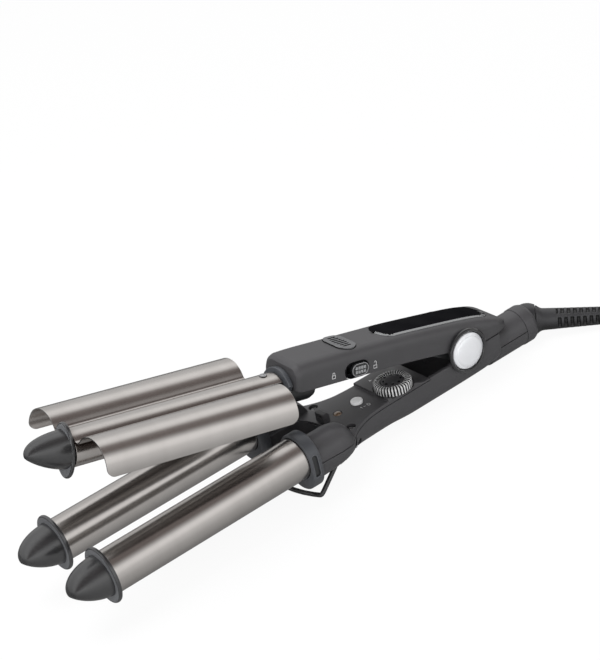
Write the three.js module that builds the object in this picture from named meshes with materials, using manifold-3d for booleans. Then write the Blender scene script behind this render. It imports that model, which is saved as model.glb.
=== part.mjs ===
// Triple-barrel hair waver, built as an assembly of separate pieces. Millimetres, +Z up.
// The lower arm lies level: +X runs from the tips to the cord, -Y is the left side when held.
// The upper arm is drawn along its own axis and then swung open about the hinge.

import * as THREE from 'three';
import * as BufferGeometryUtils from 'three/addons/utils/BufferGeometryUtils.js';
import Module from 'manifold-3d';

const wasm = await Module();
wasm.setup();

// Driving sizes shared by more than one piece
const TURN = Math.PI * 2;
const FIT = 0.3;
const WALL = 2;

// Barrels, measured in the photograph as 22, 19 and 22 mm
const BARREL_D = 22;
const BARREL_WALL = 0.8;
const BARREL_SPACING = 43.2;
const BARREL_END = 122.4;
const CENTRE_D = 17.6;
const CENTRE_WALL = 0.8;

// Hinge and opening angle
const PIVOT_X = 234;
const PIVOT_Z = -2.3;
const OPEN_DEG = 14.6;
const PIN_D = 5.8;

// Tips
const TIP_DISC_WIDE = 28;
const TIP_DISC_TALL = 29.6;
const TIP_DISC_THICK = 2.6;
const TIP_NOSE_D = 21;
const TIP_NOSE_LEN = 18.4;
const TIP_END_R = 4.2;
const TIP_SPIGOT_LEN = 8;
const CENTRE_DISC_WIDE = 16.4;
const CENTRE_DISC_TALL = 27.2;
const CENTRE_NOSE_WIDE = 17.4;
const CENTRE_NOSE_TALL = 20.4;
const CENTRE_NOSE_LEN = 18;

// Collars behind the lower barrels
const COLLAR_X0 = 114.8;
const COLLAR_X1 = 124.6;
const COLLAR_R = 12.6;
const COLLAR_DROP = 5.1;
const COLLAR_SLOT_LEN = 9;

// Lower arm body
const DECK_Z = -5;
const COVER_Z = -6.8;
const COVER_END = 208;
const STEP_X = 180;
const STEP_Z = -3.5;
const BODY_HALF = 14;
const BODY_END = 257;
const CAVITY_X0 = 148;
const NOTCH_X = 145.4;
const NOTCH_X0 = 120;
const NOTCH_X1 = 139;
const NOTCH_HALF = 12.6;
const BRIDGE_X = 246;
const BRIDGE_Z = -4.5;
const TAIL_Z = -16.6;
const TAIL_R = 10.2;
const TAIL_END = 279;
const END_COLLAR_R = 10.4;
const END_COLLAR_LEN = 9.4;

// Deck items
const SCREW_X = 154;
const SCREW_Y = 15.6;
const BLOCK_X = 148.5;
const BLOCK_LEN = 4;
const BLOCK_WIDE = 6.5;
const BLOCK_TOP = 1;
const PILOT_X = 157.6;
const PILOT_D = 4.4;
const BUTTON_X = 170.5;
const BUTTON_D = 6.6;
const BUTTON_PROUD = 1.4;
const BUTTON_TRAVEL = 0.8;
const DIAL_X = 190;
const DIAL_Y = -6.5;
const DIAL_D = 20;
const DIAL_CAP_D = 12;
const DIAL_TOP = 0.5;
const DIAL_BOTTOM = -4.5;
const DIAL_KNURLS = 30;
const BOARD_TOP = -12.4;
const BOARD_THICK = 1.6;
const BOARD_X0 = 160;
const BOARD_X1 = 203;
const BOARD_HALF = 10;

// Hinge pieces
const EAR_R = 9;
const EAR_THICK = 3.7;
const EAR_OUT = BODY_HALF + 0.2;
const EAR_IN = EAR_OUT - EAR_THICK;
const KNUCKLE_R = 8;
const KNUCKLE_IN = 4.2;
const CAP_D = 20;
const CAP_PROUD = 3.6;
const RING_OUTER_D = 24.4;
const RING_THICK = 1.9;
const SPRING_WIRE = 1.4;
const SPRING_TURNS = 4;

// Upper arm
const UPPER_FRONT = -108.8;
const UPPER_HALF = BODY_HALF;
const UPPER_BOTTOM = 1.9;
const SHEET_THICK = 0.65;
const SHEET_FRONT = -232;
const WING_REAR = -124;
const CREST_REAR = -113;
const WING_R = 12.6;
const WING_DROP = 0.3;
const VALLEY_R = 3;
const WING_EDGE_DEG = -9;
const WING_CORNER = 4.5;
const FLANGE_R = 12;
const FLANGE_THICK = 2.6;
const CENTRE_END = -112.3;
const CENTRE_TIP_U = -234;
const LUMP_HALF = 8.3;
const LUMP_LEN = 16.5;
const LUMP_BOTTOM = -7;
const PANEL_FRONT = -50;
const PANEL_REAR = 21.5;
const PANEL_HALF = 9;
const BADGE_U = -72.5;
const BADGE_LEN = 11;
const BADGE_WIDE = 20;
const LOCK_U = -72;
const LOCK_V = 6.1;
const LOCK_LEN = 14.9;
const LOCK_HIGH = 8.4;
const LOCK_BUTTON_HIGH = 7.2;
const LOCK_TRAVEL = 3.2;
const LOCK_BUTTON_LEN = LOCK_LEN - LOCK_TRAVEL - 0.5;

// Wire stand
const STAND_WIRE = 2;
const STAND_X = 135;
const STAND_Z = -13.9;
const STAND_FOOT_X = 123.3;
const STAND_HALF = 24;
const FLOOR_Z = -27;

// Cord, strain relief, coil and plug
const BALL_X = 288;
const BALL_R = 9.2;
const RELIEF_DIR = new THREE.Vector3(0.752, -0.655, -0.1).normalize();
const RELIEF_START = 6.5;
const RELIEF_END = 60;
const RELIEF_D0 = 11;
const RELIEF_D1 = 8;
const RELIEF_SLOTS = 12;
const CORD_D = 7;
const CORD_RUN = 44;
const COIL_OUTER = 52;
const COIL_PITCH = 7.7;
const COIL_LAYER = 7.7;
const COIL_LIFT = 0.9;
const COIL_TURNS = 7;
const TAIL_STEPS = 7;
const TAIL_IN = 13;
const PLUG_LIFT = 15.8;
const PLUG_LEN = 34;
const PLUG_WIDE = 27;
const PLUG_HIGH = 14;
const PIN_SPACING = 19;
const PIN_SEAT = 8;
const PIN_LEN = 19;
const PIN_DIA = 4;

// Sizes that follow from the ones above
const BARREL_Y = BARREL_SPACING / 2;
const HEATER_FRONT = 12;
const HEATER_REAR = 112;
const BARREL_R = BARREL_D / 2;
const CENTRE_R = CENTRE_D / 2;
const CREST_R = CENTRE_R + FIT + SHEET_THICK / 2;
const WING_MID = WING_R + SHEET_THICK / 2;
const OPEN = (OPEN_DEG * Math.PI) / 180;
const PIN_R = PIN_D / 2;
const BALL = new THREE.Vector3(BALL_X, 0, TAIL_Z);

// Materials, one per surface kind
function paint(name, color, roughness, metalness = 0) {
  return new THREE.MeshStandardMaterial({ name, color, roughness, metalness });
}

const LOOKS = {
  shell: () => paint('dark_grey_shell', '#58595b', 0.5),
  cover: () => paint('dark_grey_cover', '#505153', 0.5),
  collar: () => paint('blue_grey_collar', '#5f6266', 0.45),
  black: () => paint('black_plastic', '#1d1e20', 0.5),
  gloss: () => paint('black_gloss', '#1a1a1c', 0.12),
  satin: () => paint('satin_titanium', '#a39d97', 0.3, 0.9),
  tip: () => paint('tip_plastic', '#4b4b4d', 0.45),
  steel: () => paint('steel', '#a9abad', 0.35, 0.9),
  silver: () => paint('silver_cap', '#d9dbdf', 0.25, 0.4),
  knurl: () => paint('silver_dial', '#b9bbbe', 0.3, 0.4),
  amber: () => paint('amber_lens', '#9a6a48', 0.2),
  ceramic: () => paint('heater_ceramic', '#d8d2c4', 0.7),
  board: () => paint('board_green', '#2f5b3c', 0.6),
  rubber: () => paint('cord_rubber', '#232426', 0.6),
  brass: () => paint('plug_pin_metal', '#c9c4b4', 0.3, 0.9),
};

function node(name, geometry, look) {
  const mesh = new THREE.Mesh(geometry, LOOKS[look]());
  mesh.name = name;
  return mesh;
}

// Solid helpers: turn a geometry into a manifold solid and back
function toSolid(geometry) {
  let plain = geometry.clone();
  plain.deleteAttribute('normal');
  plain.deleteAttribute('uv');
  plain = BufferGeometryUtils.mergeVertices(plain, 1e-4);
  return new wasm.Manifold(new wasm.Mesh({
    numProp: 3,
    vertProperties: new Float32Array(plain.attributes.position.array),
    triVerts: new Uint32Array(plain.index.array),
  }));
}

function toGeometry(solid) {
  const mesh = solid.getMesh();
  const out = new THREE.BufferGeometry();
  const pos = new Float32Array(mesh.numVert * 3);
  for (let i = 0; i < mesh.numVert; i++) {
    for (let k = 0; k < 3; k++) pos[i * 3 + k] = mesh.vertProperties[i * mesh.numProp + k];
  }
  out.setAttribute('position', new THREE.BufferAttribute(pos, 3));
  out.setIndex(new THREE.BufferAttribute(new Uint32Array(mesh.triVerts), 1));
  out.computeVertexNormals();
  return out;
}

function add(...parts) {
  return parts.map((p) => (p.isBufferGeometry ? toSolid(p) : p)).reduce((a, b) => a.add(b));
}

function cut(body, ...tools) {
  let out = body.isBufferGeometry ? toSolid(body) : body;
  for (const t of tools) out = out.subtract(t.isBufferGeometry ? toSolid(t) : t);
  return out;
}

function common(a, b) {
  const left = a.isBufferGeometry ? toSolid(a) : a;
  return left.intersect(b.isBufferGeometry ? toSolid(b) : b);
}

// Shape helpers
function box(x0, x1, y0, y1, z0, z1) {
  const g = new THREE.BoxGeometry(x1 - x0, y1 - y0, z1 - z0);
  return g.translate((x0 + x1) / 2, (y0 + y1) / 2, (z0 + z1) / 2);
}

function rodX(r, x0, x1, y, z, n = 32) {
  const g = new THREE.CylinderGeometry(r, r, x1 - x0, n);
  return g.rotateZ(-Math.PI / 2).translate((x0 + x1) / 2, y, z);
}

function rodY(r, y0, y1, x, z, n = 32) {
  return new THREE.CylinderGeometry(r, r, y1 - y0, n).translate(x, (y0 + y1) / 2, z);
}

function rodZ(r, z0, z1, x, y, n = 24) {
  const g = new THREE.CylinderGeometry(r, r, z1 - z0, n);
  return g.rotateX(Math.PI / 2).translate(x, y, (z0 + z1) / 2);
}

// Solid of revolution about the X axis; the profile is a list of [x, radius]
function turnX(profile, n = 36) {
  const pts = profile.map(([x, r]) => new THREE.Vector2(r, x));
  const area = pts.reduce((s, p, i) => {
    const q = pts[(i + 1) % pts.length];
    return s + p.x * q.y - q.x * p.y;
  }, 0);
  if (area < 0) pts.reverse();
  return new THREE.LatheGeometry(pts, n).rotateZ(-Math.PI / 2);
}

function ringX(rOut, rIn, x0, x1, n = 36) {
  return turnX([[x0, rIn], [x0, rOut], [x1, rOut], [x1, rIn], [x0, rIn]], n);
}

// Solid between matching closed rings; each ring runs anticlockwise seen from +X
function loft(rings) {
  const n = rings[0].length;
  const pos = rings.flat(2);
  const idx = [];
  for (let i = 0; i + 1 < rings.length; i++) {
    for (let j = 0; j < n; j++) {
      const k = (j + 1) % n;
      const a = i * n + j;
      const b = i * n + k;
      idx.push(a, b, b + n, a, b + n, a + n);
    }
  }
  const last = (rings.length - 1) * n;
  capFaces(rings[0]).forEach(([a, b, c]) => idx.push(a, c, b));
  capFaces(rings[rings.length - 1]).forEach(([a, b, c]) => idx.push(last + a, last + b, last + c));
  const g = new THREE.BufferGeometry();
  g.setAttribute('position', new THREE.BufferAttribute(new Float32Array(pos), 3));
  g.setIndex(idx);
  return g;
}

function capFaces(ring) {
  const flat = ring.map((p) => new THREE.Vector2(p[1], p[2]));
  return THREE.ShapeUtils.triangulateShape(flat, []).map(([a, b, c]) => {
    const ab = flat[b].clone().sub(flat[a]);
    const ac = flat[c].clone().sub(flat[a]);
    return ab.cross(ac) > 0 ? [a, b, c] : [a, c, b];
  });
}

// Ring of a rounded box section: half width, bottom, top, bottom and top corner radii
function section(x, half, bottom, top, rLow, rHigh, steps = 4, yc = 0) {
  const out = [];
  const rTop = Math.min(rHigh, half - 0.02);
  const rBottom = Math.min(rLow, half - 0.02, top - bottom - rTop - 0.05);
  const corner = (y, z, r, from) => {
    for (let i = 0; i <= steps; i++) {
      const a = from + (i / steps) * (TURN / 4);
      out.push([x, yc + y + r * Math.cos(a), z + r * Math.sin(a)]);
    }
  };
  corner(half - rBottom, bottom + rBottom, rBottom, -TURN / 4);
  corner(half - rTop, top - rTop, rTop, 0);
  corner(-half + rTop, top - rTop, rTop, TURN / 4);
  corner(-half + rBottom, bottom + rBottom, rBottom, TURN / 2);
  return out;
}

// Plate from an outline in X and Z, running between two Y planes
function plateY(outline, y0, y1) {
  const shape = new THREE.Shape(outline.map(([x, z]) => new THREE.Vector2(x, z)));
  const g = new THREE.ExtrudeGeometry(shape, { depth: y1 - y0, bevelEnabled: false, curveSegments: 24 });
  return g.rotateX(Math.PI / 2).translate(0, y1, 0);
}

// Plate from an outline in X and Y, running between two Z planes
function plateZ(outline, z0, z1) {
  const shape = outline.isShape ? outline : new THREE.Shape(outline.map(([x, y]) => new THREE.Vector2(x, y)));
  const g = new THREE.ExtrudeGeometry(shape, { depth: z1 - z0, bevelEnabled: false, curveSegments: 8 });
  return g.translate(0, 0, z0);
}

// Slot shape with round ends along its first direction
function slotOutline(cx, cy, long, wide, steps = 8) {
  const r = Math.min(long, wide) / 2;
  const flat = Math.max(long, wide) / 2 - r;
  const out = [];
  for (let side = 0; side < 2; side++) {
    for (let i = 0; i <= steps; i++) {
      const a = side * Math.PI - Math.PI / 2 + (i / steps) * Math.PI;
      const px = (side ? -flat : flat) + r * Math.cos(a);
      const py = r * Math.sin(a);
      out.push(long >= wide ? [cx + px, cy + py] : [cx - py, cy + px]);
    }
  }
  return out;
}

// Round tube along a curve
function tubeAlong(curve, r, steps, sides) {
  const shape = new THREE.Shape();
  shape.absarc(0, 0, r, 0, TURN);
  const ring = [];
  for (let i = 0; i < sides; i++) {
    ring.push(new THREE.Vector2(r * Math.cos((i / sides) * TURN), r * Math.sin((i / sides) * TURN)));
  }
  return new THREE.ExtrudeGeometry(new THREE.Shape(ring), { steps, extrudePath: curve });
}

function polyCurve(points, tension = 0.5) {
  return new THREE.CatmullRomCurve3(points, false, 'centripetal', tension);
}

// Lower barrels, heaters and tips
function lowerBarrel(side) {
  const y = side * BARREL_Y;
  const g = ringX(BARREL_R, BARREL_R - BARREL_WALL, FIT, BARREL_END).translate(0, y, 0);
  return g;
}

function heaterBar(x0, x1, rInside, y) {
  const bar = box(x0, x1, y - rInside * 0.55, y + rInside * 0.55, -2.4, 2.4);
  const seat = rInside - FIT;
  const middle = (x0 + x1) / 2;
  const discs = [x0 + 3, middle, x1 - 6].map((x) => rodX(seat, x, x + 3, y, 0, 20));
  return toGeometry(add(bar, ...discs));
}

// Ring of an oval section with its own centre height
function ovalRing(x, halfY, low, high, steps = 24, yc = 0) {
  const out = [];
  for (let i = 0; i < steps; i++) {
    const a = (i / steps) * TURN;
    out.push([x, yc + halfY * Math.cos(a), (low + high) / 2 + ((high - low) / 2) * Math.sin(a)]);
  }
  return out;
}

// Tip: spigot inside the barrel, thin disc, and a nose that is fuller on its upper side
function tipSolid(discHalfY, discHalfZ, noseY, noseZ, noseLen, spigotR) {
  const t = TIP_DISC_THICK;
  const disc = (x, less) => ovalRing(x, discHalfY - less, less - discHalfZ, discHalfZ - less);
  const rings = [];
  for (let i = 0; i <= 5; i++) {
    const s = Math.sin((i / 5) * (Math.PI / 2));
    const c = Math.cos((i / 5) * (Math.PI / 2));
    const full = Math.sqrt(Math.max(0, 1 - (1 - c) ** 2 * 0.9));
    const high = TIP_END_R + (noseZ - TIP_END_R) * full;
    const low = TIP_END_R * 0.4 + (noseZ - 1.2 - TIP_END_R * 0.4) * (1 - s * 0.96);
    const wide = TIP_END_R + (noseY - TIP_END_R) * Math.pow(Math.max(c, 0), 0.72);
    rings.push(ovalRing(-t - (noseLen - 2) * s, wide, -low, high));
  }
  const zc = TIP_END_R * 0.35;
  rings.push(ovalRing(-t - noseLen + 0.7, TIP_END_R * 0.8, zc - TIP_END_R * 0.7, zc + TIP_END_R * 0.85));
  rings.push(ovalRing(-t - noseLen, TIP_END_R * 0.35, zc - TIP_END_R * 0.3, zc + TIP_END_R * 0.4));
  rings.reverse();
  rings.push(disc(-t, 0.9), disc(-t + 0.3, 0.3), disc(-t / 2, 0), disc(-0.3, 0.3), disc(0, 0.9));
  const spigot = [ovalRing(0, spigotR, -spigotR, spigotR), ovalRing(TIP_SPIGOT_LEN, spigotR, -spigotR, spigotR)];
  return loft([...rings, ...spigot]);
}

function lowerTip(side) {
  const spigot = BARREL_R - BARREL_WALL - FIT;
  const g = tipSolid(TIP_DISC_WIDE / 2, TIP_DISC_TALL / 2, TIP_NOSE_D / 2, TIP_NOSE_D / 2, TIP_NOSE_LEN, spigot);
  return g.translate(0, side * BARREL_Y, 0);
}

// Ring of a tall slot section: top half circle, bottom half circle lower down
function slotRing(x, y, r, drop, steps = 8) {
  const out = [];
  for (let i = 0; i <= steps; i++) {
    const a = (i / steps) * Math.PI;
    out.push([x, y + r * Math.cos(a), r * Math.sin(a)]);
  }
  for (let i = 0; i <= steps; i++) {
    const a = Math.PI + (i / steps) * Math.PI;
    out.push([x, y + r * Math.cos(a), -drop + r * Math.sin(a)]);
  }
  return out;
}

function collar(side) {
  const y = side * BARREL_Y;
  const x0 = COLLAR_X0;
  const x1 = COLLAR_X1;
  const rings = [[x0, 0.7], [x0 + 0.7, 0], [x1 - 0.4, 0], [x1, 0.4]];
  const body = loft(rings.map(([x, less]) => slotRing(x, y, COLLAR_R - less, COLLAR_DROP)));
  const bore = rodX(BARREL_R + FIT, x0 - 1, BARREL_END + FIT, y, 0, 36);
  const wires = rodX(4, x0, x1 + 1, y, -5, 16);
  const slotY = side * (BARREL_Y + COLLAR_R);
  const slotZ = -COLLAR_DROP - 3.4;
  const slot = box(x0 + 2.6, x1 - 2.4, slotY - 0.9, slotY + 1, slotZ - COLLAR_SLOT_LEN / 2, slotZ + COLLAR_SLOT_LEN / 2);
  return toGeometry(cut(body, bore, wires, slot));
}

// Lower arm body: stations of x, half width, bottom, top, bottom corner radius
const BODY_STATIONS = [
  [124.9, 32, -15.5, DECK_Z, 11],
  [133, 31.2, -16.3, DECK_Z, 11],
  [140, 29.5, -18, DECK_Z, 11.5],
  [147, 26, -19.8, DECK_Z, 12.4],
  [154, 20, -21.5, DECK_Z, 12.8],
  [161, 17, -23, DECK_Z, 12.8],
  [168, 15.2, -24, DECK_Z, 12.6],
  [STEP_X - 0.05, 14.2, -24.6, DECK_Z, 12],
  [STEP_X + 0.05, 14.2, -24.6, STEP_Z, 12],
  [197, BODY_HALF, -24.8, STEP_Z, 12],
  [205, BODY_HALF, -24.8, -6, 12],
  [222, BODY_HALF, -24.8, -6, 12],
  [228, BODY_HALF, -24.8, BRIDGE_Z, 12],
  [BODY_END, BODY_HALF, -25.2, BRIDGE_Z, 12],
];

function bodyLoft() {
  return loft(BODY_STATIONS.map(([x, h, b, t, r]) => section(x, h, b, t, r, 0.8)));
}

// Sleeve behind each collar: stations of x, centre distance, centre height, radius
const SLEEVE_STATIONS = [
  [124.9, 21, -4.4, 11],
  [136, 20.9, -4.4, 10.9],
  [140.5, 20.2, -4.9, 10.3],
  [144, 19.5, -5.4, 9.2],
  [147, 18.9, -6, 7.2],
  [149.3, 18.4, -6.6, 4.6],
  [151, 18.1, -7, 2],
];

function sleeve(side) {
  const full = loft(SLEEVE_STATIONS.map(([x, y, z, r]) => ovalRing(x, r, z - r, z + r, 20, side * y)));
  const flat = UPPER_HALF + 0.7;
  const inner = side > 0 ? [-5, flat] : [-flat, 5];
  return cut(full, box(NOTCH_X0, BOARD_X0, inner[0], inner[1], DECK_Z, 20));
}

function tailLoft() {
  const ring = (x, r) => section(x, r, TAIL_Z - r, TAIL_Z + r, r - 0.01, r - 0.01, 8);
  return loft([ring(BODY_END - 3, TAIL_R), ring(TAIL_END, TAIL_R)]);
}

function lowerShape() {
  const low = add(bodyLoft(), sleeve(1), sleeve(-1));
  const near = [[NOTCH_X0, -NOTCH_HALF], [NOTCH_X1, -NOTCH_HALF], [NOTCH_X - 3.4, -11], [NOTCH_X - 1.2, -7.6]];
  const outline = [...near, [NOTCH_X, -2.4]];
  outline.push(...outline.map(([x, y]) => [x, -y]).reverse());
  return cut(low, plateZ(outline, -12.4, 20));
}

function coverZone(gap) {
  const z = COVER_Z - gap;
  const line = [[110, -3.1 - gap], [125, -3.3 - gap], [138, -4 - gap], [144, -5.5 - gap], [148, z]];
  return plateY([...line, [COVER_END + gap, z], [COVER_END + gap, 30], [110, 30]], -60, 60);
}

function lowerCavity() {
  const inner = BODY_STATIONS.filter(([x]) => x > CAVITY_X0 && x !== STEP_X + 0.05);
  const rings = inner.map(([x, h, b, , r]) => {
    return section(Math.min(x, BODY_END - WALL), h - WALL, b + WALL, COVER_Z + 0.2, r - WALL, 0.5);
  });
  const first = section(CAVITY_X0, 22.8, -17.4, COVER_Z + 0.2, 9, 0.5);
  const room = loft([first, ...rings]);
  const open = box(COVER_END, BRIDGE_X, -12, 12, -12, 8);
  return add(room, open);
}

function earDisc(side) {
  const y = side > 0 ? [EAR_IN, EAR_OUT] : [-EAR_OUT, -EAR_IN];
  const disc = rodY(EAR_R, y[0], y[1], PIVOT_X, PIVOT_Z, 36);
  const foot = box(PIVOT_X - EAR_R, PIVOT_X + EAR_R, y[0], y[1], -14, PIVOT_Z - 3);
  return add(disc, foot);
}

function screwBoss(side) {
  return rodZ(3.2, -21, COVER_Z - 3, SCREW_X, side * SCREW_Y, 20);
}

function tailPart(x0, z0, z1) {
  return common(tailLoft(), box(x0, TAIL_END + TAIL_R, -2 * TAIL_R, 2 * TAIL_R, z0, z1));
}

function lowerHousing() {
  const shell = cut(lowerShape(), lowerCavity(), coverZone(FIT));
  const tail = tailPart(BODY_END - 57, TAIL_Z - 2 * TAIL_R, TAIL_Z + 0.6);
  const bosses = common(add(screwBoss(1), screwBoss(-1)), bodyLoft());
  const body = add(shell, tail, earDisc(1), earDisc(-1), bosses);
  const sockets = [1, -1].flatMap((s) => [
    rodX(3.5, NOTCH_X0, 152, s * BARREL_Y * 0.9, -10.4, 16),
    rodZ(1.4, -19, 0, SCREW_X, s * SCREW_Y, 16),
  ]);
  const bore = rodX(TAIL_R - WALL, BODY_END - 6, TAIL_END + 1, 0, TAIL_Z, 32);
  const pin = rodY(PIN_R + FIT, -20, 20, PIVOT_X, PIVOT_Z, 24);
  const slots = [1, -1].flatMap((s) => standSlot(s));
  return toGeometry(cut(body, ...sockets, bore, pin, ...slots, dialScallop()));
}

function standSlot(side) {
  const y0 = STAND_HALF - 2.6;
  const y1 = STAND_HALF + 1.6;
  const gap = STAND_WIRE / 2 + FIT;
  const slot = box(STAND_X - 6, STAND_X + 6, y0, y1, -22, STAND_Z + gap + 0.2);
  const hole = rodY(gap, y0 - 6, y1, STAND_X, STAND_Z, 16);
  if (side > 0) return [slot, hole];
  return [slot.rotateZ(Math.PI).translate(2 * STAND_X, 0, 0), hole.rotateZ(Math.PI).translate(2 * STAND_X, 0, 0)];
}

function dialScallop() {
  return rodZ(DIAL_D / 2 + 0.7, DIAL_BOTTOM - 0.5, 10, DIAL_X, DIAL_Y, 36);
}

function lowerCover() {
  let body = common(lowerShape(), coverZone(0));
  const bosses = [1, -1].map((s) => rodZ(4, COVER_Z - 2.7, COVER_Z + 1, SCREW_X, s * SCREW_Y, 20));
  const inside = loft(BODY_STATIONS.slice(0, 8).map(([x, h, b, t, r]) => {
    return section(x, h - WALL - FIT, b + WALL, t, r - WALL, 0.8);
  }));
  body = add(body, common(add(...bosses), inside));
  const holes = [1, -1].flatMap((s) => [
    rodZ(2.5, COVER_Z - 1.2, 5, SCREW_X, s * SCREW_Y),
    rodZ(1.4, -20, 5, SCREW_X, s * SCREW_Y, 16),
  ]);
  holes.push(rodZ(PILOT_D / 2 + FIT, -20, 5, PILOT_X, 0));
  holes.push(rodZ(BUTTON_D / 2 + FIT, -20, 5, BUTTON_X, 0));
  holes.push(rodZ(3.3, -20, 5, DIAL_X, DIAL_Y));
  return toGeometry(cut(body, ...holes, dialScallop()));
}

function tailCover() {
  const half = tailPart(BODY_END + FIT, TAIL_Z + 0.9, TAIL_Z + 2 * TAIL_R);
  return toGeometry(cut(half, rodX(TAIL_R - WALL, BODY_END - 17, TAIL_END + 21, 0, TAIL_Z, 32)));
}

function endCollar() {
  const x0 = TAIL_END + FIT;
  const x1 = x0 + END_COLLAR_LEN;
  const r = END_COLLAR_R;
  const inner = TAIL_R - WALL;
  const profile = [[x0, inner], [x0, r - 0.3], [x0 + 0.4, r], [x1 - 2.2, r], [x1, r - 1.1], [x1, BALL_R + 0.1]];
  for (let i = 0; i <= 3; i++) {
    const x = x1 - 0.01 - (i / 3) * 4.2;
    const reach = (BALL_R + FIT) ** 2 - (x - BALL_X) ** 2;
    profile.push([x, Math.max(inner, Math.sqrt(Math.max(reach, 0)))]);
  }
  profile.splice(5, 1);
  profile.push([x0, inner]);
  return turnX(profile, 28).translate(0, 0, TAIL_Z);
}

// Swivel ball with a short neck square to the strain relief
function alongRelief(geometry, start) {
  const turn = new THREE.Quaternion().setFromUnitVectors(new THREE.Vector3(1, 0, 0), RELIEF_DIR);
  const place = new THREE.Matrix4().makeRotationFromQuaternion(turn);
  const at = BALL.clone().addScaledVector(RELIEF_DIR, start);
  place.setPosition(at);
  return geometry.applyMatrix4(place);
}

function swivelBall() {
  const ball = new THREE.SphereGeometry(BALL_R, 28, 16).rotateZ(-Math.PI / 2).translate(BALL_X, 0, TAIL_Z);
  const hole = alongRelief(rodX(RELIEF_D0 / 2 - 1.2 + FIT, 0, 20, 0, 0, 24), 2);
  const wire = rodX(3, 270, BALL_X + 2, 0, TAIL_Z, 16);
  const rear = box(270, BALL_X - 6.5, -12, 12, TAIL_Z - 12, TAIL_Z + 12);
  const seat = alongRelief(rodX(RELIEF_D0 / 2 + 0.6, 0, 20, 0, 0, 24), RELIEF_START);
  return toGeometry(cut(ball, hole, wire, rear, seat));
}

function strainRelief() {
  const len = RELIEF_END - RELIEF_START - FIT;
  const r0 = RELIEF_D0 / 2;
  const r1 = RELIEF_D1 / 2;
  const neck = r0 - 1.2;
  const profile = [[-3.5, 2.2], [-3.5, neck], [0, neck], [0, r0 - 0.4], [0.4, r0]];
  const first = 10;
  const pitch = (len - first - 4) / RELIEF_SLOTS;
  const radius = (x) => r0 + (r1 - r0) * (x / len);
  for (let i = 0; i < RELIEF_SLOTS; i++) {
    const x = first + i * pitch;
    profile.push([x, radius(x)], [x + 0.2, radius(x) - 1.1]);
    profile.push([x + 1.3, radius(x) - 1.15], [x + 1.5, radius(x + 1.5)]);
  }
  profile.push([len - 0.6, r1], [len, r1 - 0.5], [len, 2.2], [-3.5, 2.2]);
  return alongRelief(turnX(profile, 14), RELIEF_START + FIT);
}

// Items on the deck
function catchBlock() {
  const x0 = BLOCK_X - BLOCK_LEN / 2;
  const half = BLOCK_WIDE / 2;
  const side = [[x0, DECK_Z + FIT], [x0 + BLOCK_LEN, DECK_Z + FIT], [x0 + BLOCK_LEN, BLOCK_TOP - 1.2]];
  side.push([x0 + BLOCK_LEN - 1, BLOCK_TOP], [x0 + 0.5, BLOCK_TOP], [x0, BLOCK_TOP - 0.5]);
  const body = plateY(side, -half, half);
  const window = box(x0 - 1, x0 + BLOCK_LEN + 1, -2.1, 2.1, -1.8, 0.1);
  return toGeometry(cut(body, window));
}

function pilotLens() {
  const r = PILOT_D / 2;
  const top = DECK_Z + 0.8;
  const low = COVER_Z - FIT;
  const pts = [[low - 0.8, 0], [low - 0.8, r + 1], [low, r + 1], [low, r], [top - 0.8, r]];
  pts.push([top - 0.3, r * 0.75], [top, 0]);
  return lathedZ(pts, 14).translate(PILOT_X, 0, 0);
}

// Solid of revolution about Z; the profile is a list of [z, radius]
function lathedZ(profile, n) {
  return turnX(profile, n).rotateY(-Math.PI / 2);
}

function powerButton() {
  const r = BUTTON_D / 2;
  const top = DECK_Z + BUTTON_PROUD;
  const low = COVER_Z - FIT;
  const pts = [[low - 1, 0], [low - 1, r + 1], [low, r + 1], [low, r], [top - 0.5, r]];
  pts.push([top - 0.15, r - 0.4], [top, r - 1.2], [top, 0]);
  return lathedZ(pts, 20).translate(BUTTON_X, 0, 0);
}

function coverScrew(side) {
  const seat = COVER_Z - 1.2 + FIT;
  const pts = [[-18, 0], [-18, 0.6], [-17, 1.1], [seat, 1.1], [seat, 2.2], [seat + 0.9, 2.2]];
  pts.push([seat + 1.3, 1.6], [seat + 1.4, 0]);
  return lathedZ(pts, 12).translate(SCREW_X, side * SCREW_Y, 0);
}

function circuitBoard() {
  const h = BOARD_HALF;
  const outline = [[BOARD_X0, -h], [BOARD_X1, -h], [BOARD_X1, h], [BOARD_X0, h]];
  return plateZ(outline, BOARD_TOP - BOARD_THICK, BOARD_TOP);
}

function switchBody() {
  const low = BOARD_TOP + FIT;
  const high = COVER_Z - FIT - 1 - BUTTON_TRAVEL - FIT;
  return box(BUTTON_X - 4, BUTTON_X + 4, -4, 4, low, high);
}

function dialPotentiometer() {
  const low = BOARD_TOP + FIT;
  const pts = [[low, 0], [low, 3.2], [COVER_Z - 1.4, 3.2], [COVER_Z - 1.4, 2.9], [-2.2, 2.9], [-2, 2.7], [-2, 0]];
  const body = lathedZ(pts, 24);
  const base = box(-6, 6, -3.2, 6, low, COVER_Z - 1.4);
  return toGeometry(add(body, base)).translate(DIAL_X, DIAL_Y, 0);
}

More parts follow.
